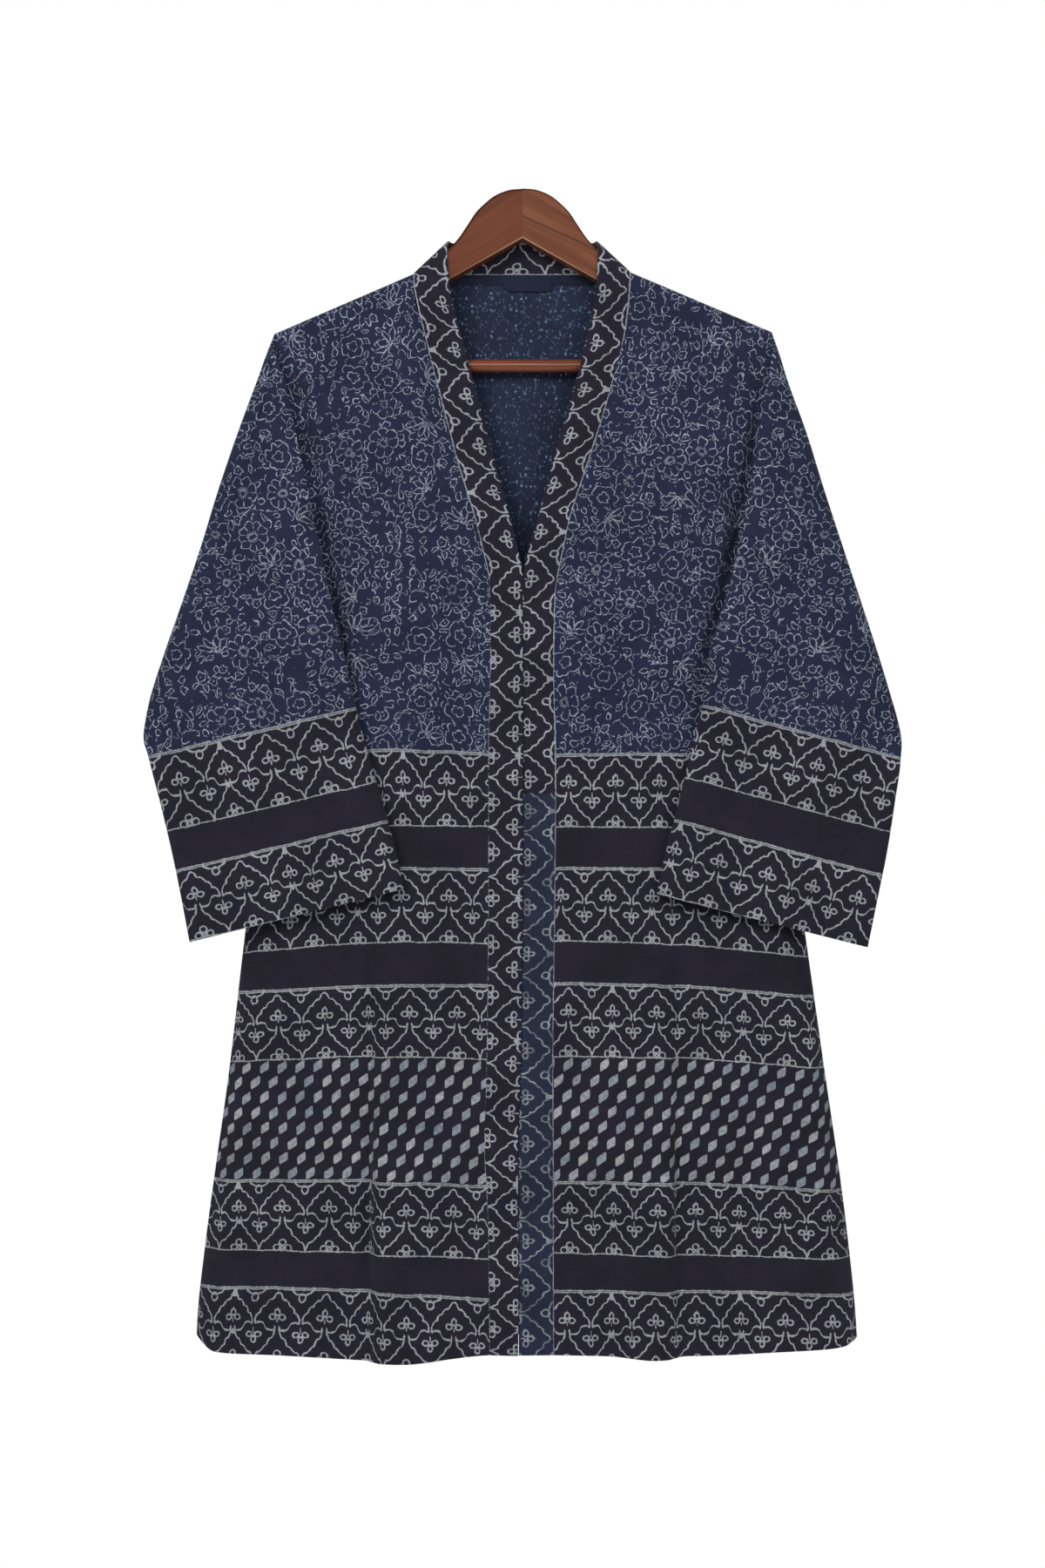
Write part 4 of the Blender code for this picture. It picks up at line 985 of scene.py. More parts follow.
def make_band(node, rows, seams, printed, materials):
    """A band from its seam to its free edge, printed along its length on both sides."""
    shares = np.linspace(0, 1, BAND_COLUMNS)
    middle = np.array([[np.array(seam) * (1 - share) + np.array(edge) * share for share in shares]
                       for seam, edge in rows])
    middle = refine(middle, BAND_SPACING)
    normals = np.cross(np.gradient(middle, axis=0), np.gradient(middle, axis=1))
    behind_neck = middle[:, 0, 1] > -SEAM_GAP
    normals[behind_neck, 0, 2] = 0
    normals /= np.linalg.norm(normals, axis=2, keepdims=True)
    if normals[0, 0, 1] > 0:
        normals = -normals
    puff = 1 - (1 - np.clip(shares / BAND_PUFF_SHARE, 0, 1)) ** 2
    from_edge = np.clip((shares - 1 + BAND_EDGE_SHARE) / BAND_EDGE_SHARE, 0, 1)
    rounded = np.sqrt(np.clip(1 - from_edge ** 2, 0, 1))
    outer = middle + normals * ((DOUBLE_CLOTH - CLOTH) * puff * rounded)[None, :, None]
    inner = middle - normals * (BAND_SHELL - (DOUBLE_CLOTH - CLOTH))
    steps = np.linalg.norm(np.diff(middle[:, BAND_COLUMNS // 2], axis=0), axis=1)
    start, stretch = printed
    along = np.concatenate([[0], np.cumsum(steps)]) * stretch + start
    width = np.linalg.norm(middle - middle[:, :1], axis=2)
    along = np.repeat(along[:, None], BAND_COLUMNS, axis=1)
    flats = []
    for seam in seams:
        towards = -1 if seam > BORDER_HEIGHT / 2 else 1
        flats.append(np.stack([along, seam + towards * width], axis=-1))
    dress(shell(node + "_cloth", outer, inner, *flats, materials), node)


def make_bands(materials):
    """The long neck band and the two lower lengths that carry on to the hem."""
    back_edge = back_grid(COARSE)[0]
    middle = len(back_edge) // 2
    steps = len(NECK_COLUMNS) - 1
    neck = {"right": back_edge[middle - steps + 1:middle + 1],
            "left": back_edge[middle + steps - 1:middle - 1:-1]}
    seams = {"right": (BAND_BASE_SEAM, BAND_TOP_SEAM), "left": (BAND_TOP_SEAM, BAND_BASE_SEAM)}
    turned = COARSE["turn"] + 1
    long_rows = {}
    for side in ("right", "left"):
        edge = list(front_grid(side, COARSE)[:, -1])
        join = BAND_JOIN[side]
        hanging = [point for point in edge[turned:] if point[2] > join + SEAM_GAP]
        hanging.append(point_at_height(edge[turned:], join + HALF_GAP))
        long_rows[side] = [band_row(side, point) for point in reversed(hanging)]
        long_rows[side] += neck_turn_rows(side, edge[turned - 1::-1], neck[side])
        below = [point_at_height(edge, join - HALF_GAP)]
        below += [point for point in edge if point[2] < join - SEAM_GAP]
        rows = [band_row(side, point) for point in below]
        make_band(side + "_lower_band", rows, seams[side], BAND_PRINT[side], materials[side])
    rows = long_rows["right"] + long_rows["left"][-2::-1]
    make_band("neck_band", rows, seams["left"], BAND_PRINT["neck"], materials["neck"])


def make_strip(node, back_inside, from_x, to_x, top, foot, lift, rounded, material):
    """A strip lying on the inside of the back below its neck seam, with rounded ends."""
    rows = []
    for share in np.linspace(0, 1, STRIP_ROWS):
        row = []
        for x in np.linspace(from_x, to_x, STRIP_COLUMNS):
            from_middle = abs(2 * (x - from_x) / (to_x - from_x) - 1)
            into_end = max(0.0, (from_middle - 1 + rounded) / rounded)
            taper = math.sqrt(1 - min(STRIP_BLUNT, into_end) ** 2)
            column = int(np.argmin(np.abs(back_inside[STRIP_LEVEL, :, 0] - x)))
            edge = list(back_inside[:, column])
            z = edge[0][2] - (top + foot) / 2 - (foot - top) * (share - 0.5) * taper
            row.append((x, point_at_height(edge, z)[1] - lift, z))
        rows.append(row)
    grid = np.array(rows)
    forward = grid_normals(grid, (0, -1, 0))
    bulge = np.sin(np.linspace(0, np.pi, STRIP_ROWS)) ** 0.5 * STRIP_BULGE
    flat = np.stack([grid[..., 0], grid[..., 2]], axis=-1)
    outer = grid + forward * bulge[:, None, None]
    inner = grid - forward * TRIM / 2
    dress(shell(node + "_cloth", outer, inner, flat, flat, [material]), node)


def make_neck_trim(back_inside, material):
    """The strip over the back neck seam and the flat hanging loop sewn on it, both inside the back."""
    half = BINDING_HALF_WIDTH
    lifts = (SEAM_GAP + TRIM / 2, 2 * SEAM_GAP + 1.5 * TRIM)
    make_strip("neck_binding", back_inside, -half, half, BINDING_TOP, BINDING_DROP, lifts[0], 0.01, material)
    make_strip("hang_loop", back_inside, LOOP_FROM, LOOP_TO, LOOP_TOP, LOOP_FOOT, lifts[1], 0.22, material)


def under_shoulder_z(side, distance):
    """Height just under the cloth of the shoulder."""
    neck_x, neck_z = NECK_POINT[side]
    tip_x, tip_z = SHOULDER_TIP[side]
    steepness = math.hypot(1.0, (tip_z - neck_z) / (tip_x - neck_x))
    return shoulder_z(side, distance) - (CLOTH + SEAM_GAP) * steepness


def wood_top_z(side, distance):
    """Upper edge of an arm: the head's outline and the dip beside it, then the shoulder's slope."""
    last_x, last_z = HEAD_OUTLINE[-1]
    if distance > last_x:
        return under_shoulder_z(side, distance)
    fitted = (under_shoulder_z(side, last_x) - last_z) * smooth_step(distance, SLOPE_FROM, last_x)
    return read_table(HEAD_OUTLINE, distance, 1) + fitted


def arm_outline(side):
    """Outline of one half of the hanger in the front view, from the mitre's top round the arm's end."""
    points = [(MITRE_GAP, 0.0)]
    for k in range(1, ARM_STEPS + 1):
        distance = HEAD_OUTLINE[-1][0] * k / ARM_STEPS
        points.append((distance, wood_top_z(side, distance)))
    end_top = wood_top_z(side, ARM_END_X + ARM_END_ROUND[0][0])
    points += [(ARM_END_X + x, end_top + z) for x, z in ARM_END_ROUND]
    points.append((BLOCK_OUTER_X, BLOCK_BOTTOM))
    points.append((BLOCK_INNER_X, BLOCK_BOTTOM))
    points.append((BLOCK_INNER_X, wood_top_z(side, BLOCK_INNER_X) - ARM_END_HEIGHT))
    points.append((LOWER_MIDDLE_X, wood_top_z(side, LOWER_MIDDLE_X) - ARM_END_HEIGHT - LOWER_MIDDLE_DROP))
    for distance in (LOWER_CORNER_X, MITRE_GAP):
        points.append((distance, MITRE_TOP - LOWER_EDGE_SLOPE * distance))
    return points


def make_arm(side, *materials):
    """One wooden half: its outline extruded, with a wide rounded edge above and a narrow bevel below."""
    sign = side_sign(side)
    shape = bmesh.new()
    front = [shape.verts.new((sign * x, -WOOD_HALF_DEPTH, z)) for x, z in arm_outline(side)]
    face = shape.faces.new(front)
    grown = bmesh.ops.extrude_face_region(shape, geom=[face])
    for part in grown["geom"]:
        if isinstance(part, bmesh.types.BMVert):
            part.co.y = WOOD_HALF_DEPTH
    bmesh.ops.recalc_face_normals(shape, faces=shape.faces)

    def on_mitre(vertex):
        return abs(vertex.co.x) < SEAM_GAP

    def is_below(edge):
        middle = (edge.verts[0].co + edge.verts[1].co) / 2
        return middle.z < MITRE_TOP - LOWER_EDGE_SLOPE * abs(middle.x) + LOWER_RIM_REACH

    rim = [edge for edge in shape.edges if abs(edge.verts[0].co.y - edge.verts[1].co.y) < HALF_GAP
           and not all(on_mitre(vertex) for vertex in edge.verts)]
    upper = [edge for edge in rim if not is_below(edge)]
    lower = [edge for edge in rim if is_below(edge) and any(on_mitre(vertex) for vertex in edge.verts)]
    # Slot 2 on the upper rounded edge holds painted shade
    bmesh.ops.bevel(shape, geom=upper, offset=UPPER_BEVEL, segments=6, profile=0.5, affect="EDGES",
                    clamp_overlap=True, material=2)
    lower = [edge for edge in lower if edge.is_valid]
    # Slot 1 on the lower bevel holds a painted highlight
    bmesh.ops.bevel(shape, geom=lower, offset=LOWER_BEVEL, segments=4, profile=0.5, affect="EDGES",
                    clamp_overlap=False, material=1)
    node = "hanger_" + side + "_arm"
    mesh = bpy.data.meshes.new(node + "_wood")
    shape.to_mesh(mesh)
    shape.free()
    dress(place_mesh(mesh, materials, WOOD_SHARP_ANGLE), node)


def make_bar(material):
    """The round bar between the arms' ends."""
    length = 2 * (BLOCK_INNER_X - SEAM_GAP)
    shape = bmesh.new()
    bmesh.ops.create_cone(shape, cap_ends=True, segments=BAR_SIDES, radius1=BAR_RADIUS, radius2=BAR_RADIUS,
                          depth=length)
    ends = [edge for edge in shape.edges if abs(edge.verts[0].co.z - edge.verts[1].co.z) < HALF_GAP]
    bmesh.ops.bevel(shape, geom=ends, offset=BAR_BEVEL, segments=2, profile=0.5, affect="EDGES")
    for vertex in shape.verts:
        vertex.co = (vertex.co.z, vertex.co.y, vertex.co.x + BAR_Z)
    bmesh.ops.recalc_face_normals(shape, faces=shape.faces)
    mesh = bpy.data.meshes.new("hanger_bar_wood")
    shape.to_mesh(mesh)
    shape.free()
    dress(place_mesh(mesh, [material], WOOD_SHARP_ANGLE), "hanger_bar")


MM_PER_METRE = 1000.0
FAR_AWAY = 1000.0  # millimetres, for distances that are switched off


def feed(tree, socket, value):
    """Links a number or another socket to a socket, or sets the socket's own value."""
    if isinstance(value, Number):
        value = value.socket
    if isinstance(value, bpy.types.NodeSocket):
        tree.links.new(value, socket)
    elif isinstance(value, tuple):
        socket.default_value = (*value, 1.0)
    else:
        socket.default_value = value


def add_node(tree, kind, inputs, **settings):
    """A shader node with its settings and what goes into its inputs, named or numbered."""
    node = tree.nodes.new("ShaderNode" + kind)
    for name, value in settings.items():
        setattr(node, name, value)
    for name, value in inputs.items():
        feed(tree, node.inputs[name], value)
    return node


class Number:
    """A number worked out by a material's nodes, which adds, multiplies and compares as a plain one does."""

    def __init__(self, tree, socket):
        self.tree = tree
        self.socket = socket

    def do(self, operation, *others):
        """One operation of the Math node on this number and others."""
        node = add_node(self.tree, "Math", dict(enumerate((self, *others))), operation=operation)
        return Number(self.tree, node.outputs[0])

    __add__ = __radd__ = partialmethod(do, "ADD")
    __sub__ = partialmethod(do, "SUBTRACT")
    __rsub__ = partialmethod(do, "MULTIPLY_ADD", -1.0)
    __mul__ = partialmethod(do, "MULTIPLY")
    __truediv__ = partialmethod(do, "DIVIDE")
    __lt__ = partialmethod(do, "LESS_THAN")
    __gt__ = partialmethod(do, "GREATER_THAN")
    __abs__ = partialmethod(do, "ABSOLUTE")

    def fold(self, operation, *others):
        """The operation on this number and each of the others in turn."""
        made = self
        for other in others:
            made = made.do(operation, other)
        return made

    least = partialmethod(fold, "MINIMUM")
    most = partialmethod(fold, "MAXIMUM")

    def unless(self, mask):
        """The number where the mask is 0, and far away where it is 1, for distances."""
        return self + mask * FAR_AWAY

    def ramp(self, low, high, start=0.0, end=1.0):
        """Smoothly from start at low to end at high."""
        inputs = {"Value": self, "From Min": low, "From Max": high, "To Min": start, "To Max": end}
        node = add_node(self.tree, "MapRange", inputs, interpolation_type="SMOOTHSTEP")
        return Number(self.tree, node.outputs["Result"])

    def chart(self, points):
        """Reads a chart of listed points: points are (value, result), joined by a smooth line."""
        lows = [min(point[axis] for point in points) for axis in (0, 1)]
        spans = [max(point[axis] for point in points) - lows[axis] for axis in (0, 1)]
        node = add_node(self.tree, "FloatCurve", {"Value": (self - lows[0]) / spans[0]})
        curve = node.mapping.curves[0]
        scaled = [((x - lows[0]) / spans[0], (y - lows[1]) / spans[1]) for x, y in points]
        curve.points[0].location, curve.points[1].location = scaled[0], scaled[-1]
        for place in scaled[1:-1]:
            curve.points.new(*place)
        for point in curve.points:
            point.handle_type = "AUTO_CLAMPED"
        node.mapping.update()
        return Number(self.tree, node.outputs[0]) * spans[1] + lows[1]


class Look:
    """A material under way: its node tree, its shader and the cloth's coordinates in millimetres."""

    def __init__(self, name, **sockets):
        self.material = bpy.data.materials.new(name)
        self.material.use_nodes = True
        self.tree = self.material.node_tree
        self.shader = self.tree.nodes["Principled BSDF"]
        for socket, value in sockets.items():
            feed(self.tree, self.shader.inputs[socket.replace("_", " ")], value)

    def flat(self):
        """The cloth's own coordinates, across and down, in millimetres."""
        node = add_node(self.tree, "UVMap", {}, uv_map="flat")
        return self.split(node.outputs["UV"], MM_PER_METRE)

    def place(self):
        """The object's coordinates in millimetres."""
        return self.split(add_node(self.tree, "TexCoord", {}).outputs["Object"], MM_PER_METRE)

    def split(self, socket, scale=1.0):
        """The three numbers of a vector or a colour."""
        node = add_node(self.tree, "SeparateXYZ", {0: socket})
        return [Number(self.tree, output) * scale for output in node.outputs]

    def vector(self, *numbers):
        """A vector of three numbers."""
        return add_node(self.tree, "CombineXYZ", dict(enumerate(numbers))).outputs[0]

    def noise_node(self, vector, size, detail, rough=0.5, dimensions="2D"):
        """Noise whose grains are about size millimetres across."""
        inputs = {"Vector": vector, "Scale": 1.0 / size, "Detail": detail, "Roughness": rough}
        return add_node(self.tree, "TexNoise", inputs, noise_dimensions=dimensions)

    def noise(self, *settings):
        """The noise as one number from 0 to 1."""
        return Number(self.tree, self.noise_node(*settings).outputs[0])

    def shaken(self, x, y, size, amount):
        """The coordinates moved a little each way by noise."""
        node = self.noise_node(self.vector(x, y, 0.0), size, 1.0)
        red, green, _ = self.split(node.outputs["Color"])
        return x + (red - 0.5) * (2 * amount), y + (green - 0.5) * (2 * amount)

    def cells(self, vector, size, spread, feature="F1"):
        """Voronoi cells of about size millimetres, from even to scattered as spread goes from 0 to 1."""
        inputs = {"Vector": vector, "Scale": 1.0 / size, "Randomness": spread}
        return add_node(self.tree, "TexVoronoi", inputs, voronoi_dimensions="2D", feature=feature)

    def mix(self, share, first, second):
        """One colour or socket, going to another."""
        node = add_node(self.tree, "Mix", {}, data_type="RGBA")
        for index, value in ((0, share), (6, first), (7, second)):
            feed(self.tree, node.inputs[index], value)
        return node.outputs[2]

    def bump(self, height, distance, strength, after=None):
        """A normal that follows a height, on top of another normal if there is one."""
        inputs = {"Strength": strength, "Distance": distance, "Height": height}
        if after is not None:
            inputs["Normal"] = after
        return add_node(self.tree, "Bump", inputs).outputs[0]

    def finish(self, colour, roughness=None, normal=None):
        """The material, with what its shader still needs."""
        for name, value in (("Base Color", colour), ("Roughness", roughness), ("Normal", normal)):
            if value is not None:
                feed(self.tree, self.shader.inputs[name], value)
        return self.material


# Colours, as linear light
NAVY = (0.0140, 0.0182, 0.0455)
BLACK_NAVY = (0.0140, 0.0120, 0.0225)
BLUE_NAVY = (0.0160, 0.0205, 0.0430)
FLORAL_INK = (0.2750, 0.2950, 0.3650)
BORDER_INK = (0.2900, 0.3050, 0.3300)
DIAMOND_BLUE = (0.2750, 0.3120, 0.3750)
DIAMOND_WHITE = (0.3650, 0.3700, 0.3900)
REVERSE_NAVY = (0.0150, 0.0205, 0.0450)
REVERSE_INK = (0.1250, 0.1900, 0.2950)
TRIM_NAVY = (0.0115, 0.0150, 0.0335)
CLOTH_FINISH = {"Roughness": 0.88, "Sheen_Weight": 0.06, "Sheen_Roughness": 0.5, "Specular_IOR_Level": 0.15}

# The border, charted in millimetres. One arch fills a period; x is the distance from its middle line
PERIOD = 40.5
ARCH_SIDE = [  # height above the base line, half width of the arch
    (32.2, 18.6), (33.4, 18.9), (36.0, 18.9), (38.6, 18.0), (40.5, 16.9), (41.5, 14.6), (44.2, 14.1),
    (46.3, 12.7), (47.2, 10.3), (49.4, 9.3), (51.8, 7.4), (52.7, 4.4), (54.8, 3.3), (56.8, 2.4), (58.0, 1.2),
    (58.5, 0.0),
]
ARCH_TOP = [  # distance from the middle line, height of the arch
    (0.0, 58.4), (1.2, 58.0), (2.4, 56.8), (3.3, 54.8), (4.4, 53.0), (7.2, 52.0), (9.2, 49.2), (10.2, 47.6),
    (12.8, 46.4), (14.0, 44.2), (14.7, 42.0), (16.9, 40.5), (18.1, 38.6), (18.9, 36.0),
]
ARCH_FOOT = [  # distance from the middle line, height of the line below the arch
    (1.9, 29.6), (2.5, 27.4), (4.4, 26.5), (7.4, 26.8), (9.3, 28.0), (10.7, 30.4), (12.4, 32.8), (14.7, 33.7),
    (17.2, 33.2), (18.7, 32.2),
]
LOZENGE_SIDE = [  # height, distance from the arch's middle line
    (0.0, 20.4), (3.0, 19.6), (5.8, 18.4), (7.6, 17.4), (8.6, 14.6), (10.4, 12.9), (12.2, 11.4), (14.2, 8.7),
    (16.6, 7.8), (18.8, 6.6), (20.4, 4.3), (22.6, 3.1), (25.2, 2.3), (29.6, 1.9),
]
LOZENGE_FOOT = [  # distance from the arch's middle line, height
    (3.0, 22.2), (4.4, 20.4), (7.0, 18.9), (7.9, 16.6), (8.8, 14.4), (11.5, 12.4), (13.1, 10.4), (14.9, 8.6),
    (17.8, 7.4), (18.6, 5.8), (19.7, 3.0), (20.6, 0.6),
]
# Small ovals: x, height, half width, half height
UPPER_OVALS = [(0.0, 41.8, 2.0, 2.6), (4.1, 37.7, 2.5, 2.2)]
LOWER_OVALS = [(4.0, 23.2, 2.5, 2.1), (0.0, 19.1, 2.0, 2.6)]
CLUSTER_OVALS = [(0.0, 7.0, 2.8, 2.6), (4.9, 2.6, 2.7, 2.6), (0.0, 2.2, 1.4, 1.4)]
LINE_HALF_WIDTH = 0.60
LINE_SOFTNESS = 0.26
UNIT_WIDTHS = (42.5, 42.5, 36.5)
BORDER_MM = 63.0
OUTSIDE = 20.0


def oval(x, y, across, up, half_width, half_height):
    """Distance from an upright oval's outline, near enough for a thin line."""
    dx = (x - across) / half_width if across else x / half_width
    dy = (y - up) / half_height
    return abs((dx * dx + dy * dy).do("SQRT") - 1.0) * min(half_width, half_height)


def border_units(x):
    """Distance from the middle line of the nearest arch, and 1 in the narrow unit with the pointed arch."""
    wide, _, narrow = UNIT_WIDTHS
    along = x.do("FLOORED_MODULO", sum(UNIT_WIDTHS))
    pointed = along > 2 * wide
    second = along > wide
    off = abs(along - wide / 2 - (second + pointed) * wide + pointed * ((wide - narrow) / 2))
    return off * (1.0 + pointed * (wide / narrow - 1.0)) * (PERIOD / wide), pointed


def arches_and_lozenges(off, y, pointed):
    """Distance from the lines of the arches, their feet, the lozenges and the pointed arch's neck."""
    side = abs(off - y.chart(ARCH_SIDE))
    top = abs(y - off.chart(ARCH_TOP))
    arch = side.least(top.unless(off > 19.2)).unless(y < 32.0).unless(y > 59.6) * 0.85
    foot = (abs(y - off.chart(ARCH_FOOT)) * 0.80).unless(off < 1.7).unless(off > 18.9)
    lozenge = abs(off - y.chart(LOZENGE_SIDE)).unless(y > 29.8)
    lozenge = lozenge.least(abs(y - off.chart(LOZENGE_FOOT)).unless(off < 2.8)) * 0.85
    nearest = arch.least(foot, lozenge)
    neck = (off - (62.5 - y) * 0.12 - 0.9).most(0.0).least(abs(off - (62.5 - y) * 0.16 - 0.8))
    return nearest.least(neck.unless(1.0 - pointed).unless(y < 55.0).unless(y > 62.0))


def small_shapes(nearest, off, y, pointed):
    """The nearest line so far, or one of the ovals, stems and drops if that is nearer."""
    past = PERIOD / 2 - off
    for across, ovals in ((off, UPPER_OVALS), (past, LOWER_OVALS), (off, CLUSTER_OVALS)):
        for place in ovals:
            nearest = nearest.least(oval(across, y, *place))
    upper_stem = (off + 0.2).unless(y < 33.4).unless(y > 37.0)
    upper_tip = (off + 0.3).unless(y < 44.6).unless(y > 46.2)
    lower_stem = (past + 0.2).unless(y < 24.0).unless(y > 29.4)
    pendant = oval(past, y, 0.0, 62.4, 9.0, 5.3)
    drop = oval(past, y, 0.0, 54.6, 2.8, 3.4)
    blob = (off * off + (y - 25.6) * (y - 25.6) * 0.4).do("SQRT") - 1.0
    return nearest.least(upper_stem, upper_tip, lower_stem, pendant, drop, blob.unless(1.0 - pointed))


def border_lines(look, x, y):
    """Share of ink at a place of the border: x along it and y above its base line, in millimetres."""
    x, y = look.shaken(x, y, 4.6, 0.50)
    x, y = look.shaken(x, y, 1.2, 0.20)
    off, pointed = border_units(x)
    nearest = small_shapes(arches_and_lozenges(off, y, pointed), off, y, pointed)
    lower_line = abs(y) + 0.12
    upper_line = abs(y - 61.3).least(abs(y - 63.0)) + 0.16
    nearest = nearest.least(lower_line, upper_line)
    speckle = look.noise(look.vector(x, y, 0.0), 0.9, 2.0)
    hatch = (y > 61.0) * (y < 63.2) * speckle.ramp(0.42, 0.62, 0.20, 0.65)
    width = look.noise(look.vector(x, y, 7.0), 3.2, 1.0).ramp(0.3, 0.7, -0.16, 0.16)
    ink = (nearest + width).ramp(LINE_HALF_WIDTH - LINE_SOFTNESS, LINE_HALF_WIDTH + LINE_SOFTNESS, 1.0, 0.0)
    worn = speckle.ramp(0.28, 0.48, 0.62, 1.0)
    return ink.most(hatch) * worn * (y > -1.2) * (y < 64.2)


def diamond_ink(look, x, y):
    """Rows of small slanting diamonds, and a number that varies from one diamond to the next."""
    x, y = look.shaken(x, y, 3.2, 0.32)
    y = y + look.noise(look.vector(x, y, 0.0), 40.0, 1.0) * 2.4 - 1.2
    row = (y / DIAMOND_DOWN).do("FLOOR")
    dy = y - (row + 0.5) * DIAMOND_DOWN
    across = x + row.do("FLOORED_MODULO", 2.0) * (DIAMOND_ACROSS / 2) + row * 0.45
    column = (across / DIAMOND_ACROSS).do("FLOOR")
    dx = across - (column + 0.5) * DIAMOND_ACROSS
    chance = ((row * 12.99 + column * 78.23).do("SINE") * 437.58).do("FRACT")
    side = abs(dx) / (3.5 + chance * 0.7)
    edge = abs(dy + dx * 0.62) / 3.75
    inside = (side.do("POWER", 6.0) + edge.do("POWER", 6.0)).do("POWER", 1 / 6.0)
    fill = inside.ramp(0.90, 1.06, 1.0, 0.0)
    speckle = look.noise(look.vector(x, y, 0.0), 0.9, 2.0).ramp(0.34, 0.66, 0.60, 0.95)
    patch = look.noise(look.vector(x, y, 4.0), 3.5, 1.0).ramp(0.35, 0.65, 0.80, 1.10)
    whiter = (chance * 3.7).do("FRACT")
    return fill * speckle * patch * (whiter * 0.24 + 0.88), whiter


def turned(x, y, angle):
    """Coordinates turned by an angle that is itself a number."""
    cosine, sine = angle.do("COSINE"), angle.do("SINE")
    return x * cosine - y * sine, x * sine + y * cosine


def cell_places(look, vector, x, y, size, spread):
    """Coordinates from the middle of the nearest cell, and three random numbers of that cell."""
    node = look.cells(vector, size, spread)
    centre_x, centre_y, _ = look.split(node.outputs["Position"])
    randoms = look.split(node.outputs["Color"])
    return x - centre_x, y - centre_y, randoms


def chrysanthemum(x, y, radius, petals):
    """Distance from the lines of a many-petalled flower with a ring of short strokes round its heart."""
    distance = (x * x + y * y).do("SQRT")
    angle = y.do("ARCTAN2", x)
    part = (angle * (petals / 2)).do("COSINE")
    outline = abs(distance - (abs(part).do("POWER", 0.45) * 0.27 + 0.73) * radius) * 0.85
    sides = abs(part) * distance * 2.0 / petals
    sides = sides.unless(distance < radius * 0.50).unless(distance > radius * 0.80)
    strokes = abs((angle * petals).do("SINE")) * distance / petals + 0.12
    strokes = strokes.unless(distance < radius * 0.16).unless(distance > radius * 0.36)
    return outline.least(sides, strokes), distance


def peony(angle, distance, radius):
    """Distance from the lines of a flower with five or six lobes round a smaller lobed heart."""
    lobes = abs((angle * 3.0 + (angle * 2.0).do("SINE") * 0.5).do("COSINE")).do("POWER", 0.6)
    outline = abs(distance - (lobes * 0.30 + 0.70) * radius) * 0.85
    turned_lobes = abs((angle * 2.5 + 0.8).do("COSINE")).do("POWER", 0.6)
    heart = abs(distance - (turned_lobes * 0.16 + 0.26) * radius) * 0.9
    return outline.least(heart)


def leaf_spray(angle, distance, radius):
    """Distance from the outlines of five slim leaves that fan out from one stalk."""
    part = math.pi / 5
    fanned = (angle / part).do("FRACT") * part - part / 2
    along = distance * fanned.do("COSINE")
    off = abs(distance * fanned.do("SINE"))
    share = (along - radius * 0.20) / (radius * 0.80)
    width = (share * math.pi).do("SINE").most(0.0) * (radius * 0.15)
    leaf = abs(off - width).unless(share < 0.0).unless(share > 1.0)
    stalk = off.unless(share > 0.0)
    return leaf.least(stalk).unless(angle < 0.0)


def choose(share, low, first, second):
    """first where share is under low, and second elsewhere."""
    first_here = share < low
    return first * first_here + second * (1.0 - first_here)


FULL_TURN = 6.28
LARGE_CELL, SMALL_CELL, STEM_CELL = 31.0, 10.0, 12.0  # millimetres between motifs
FLOWER_RADIUS, LOBED_RADIUS, SPRAY_RADIUS = 13.0, 11.5, 15.0
FLOWER_TO, LOBED_TO, SPRAY_TO = 0.27, 0.52, 0.74  # a cell's random number up to which it holds each motif
BLOSSOM_TO, LEAF_TO, BUD_TO, SMALL_TO = 0.20, 0.52, 0.80, 0.88


def large_motifs(look, vector, x, y):
    """Distance from the lines of the large flowers and leaf sprays, and 1 on the cloth that they take up."""
    big_x, big_y, big = cell_places(look, vector, x, y, LARGE_CELL, 0.55)
    big_x, big_y = turned(big_x, big_y, big[1] * FULL_TURN)
    big_x = big_x * (big[2] * 0.36 + 0.82)
    petals = (big[1] * 4.0).do("FLOOR") + 7.0
    flower, distance = chrysanthemum(big_x, big_y, FLOWER_RADIUS, petals)
    angle = big_y.do("ARCTAN2", big_x)
    lobed = peony(angle, distance, LOBED_RADIUS)
    spray = leaf_spray(angle, distance, SPRAY_RADIUS)
    is_flower = big[0] < FLOWER_TO
    is_lobed = between(big[0], FLOWER_TO, LOBED_TO)
    is_spray = between(big[0], LOBED_TO, SPRAY_TO)
    large = flower.unless(1.0 - is_flower).least(lobed.unless(1.0 - is_lobed), spray.unless(1.0 - is_spray))
    taken = is_flower * (distance < 14.2)
    taken = taken.most(is_lobed * (distance < 12.6), is_spray * (angle > 0.0) * (distance < 14.0))
    return large, taken


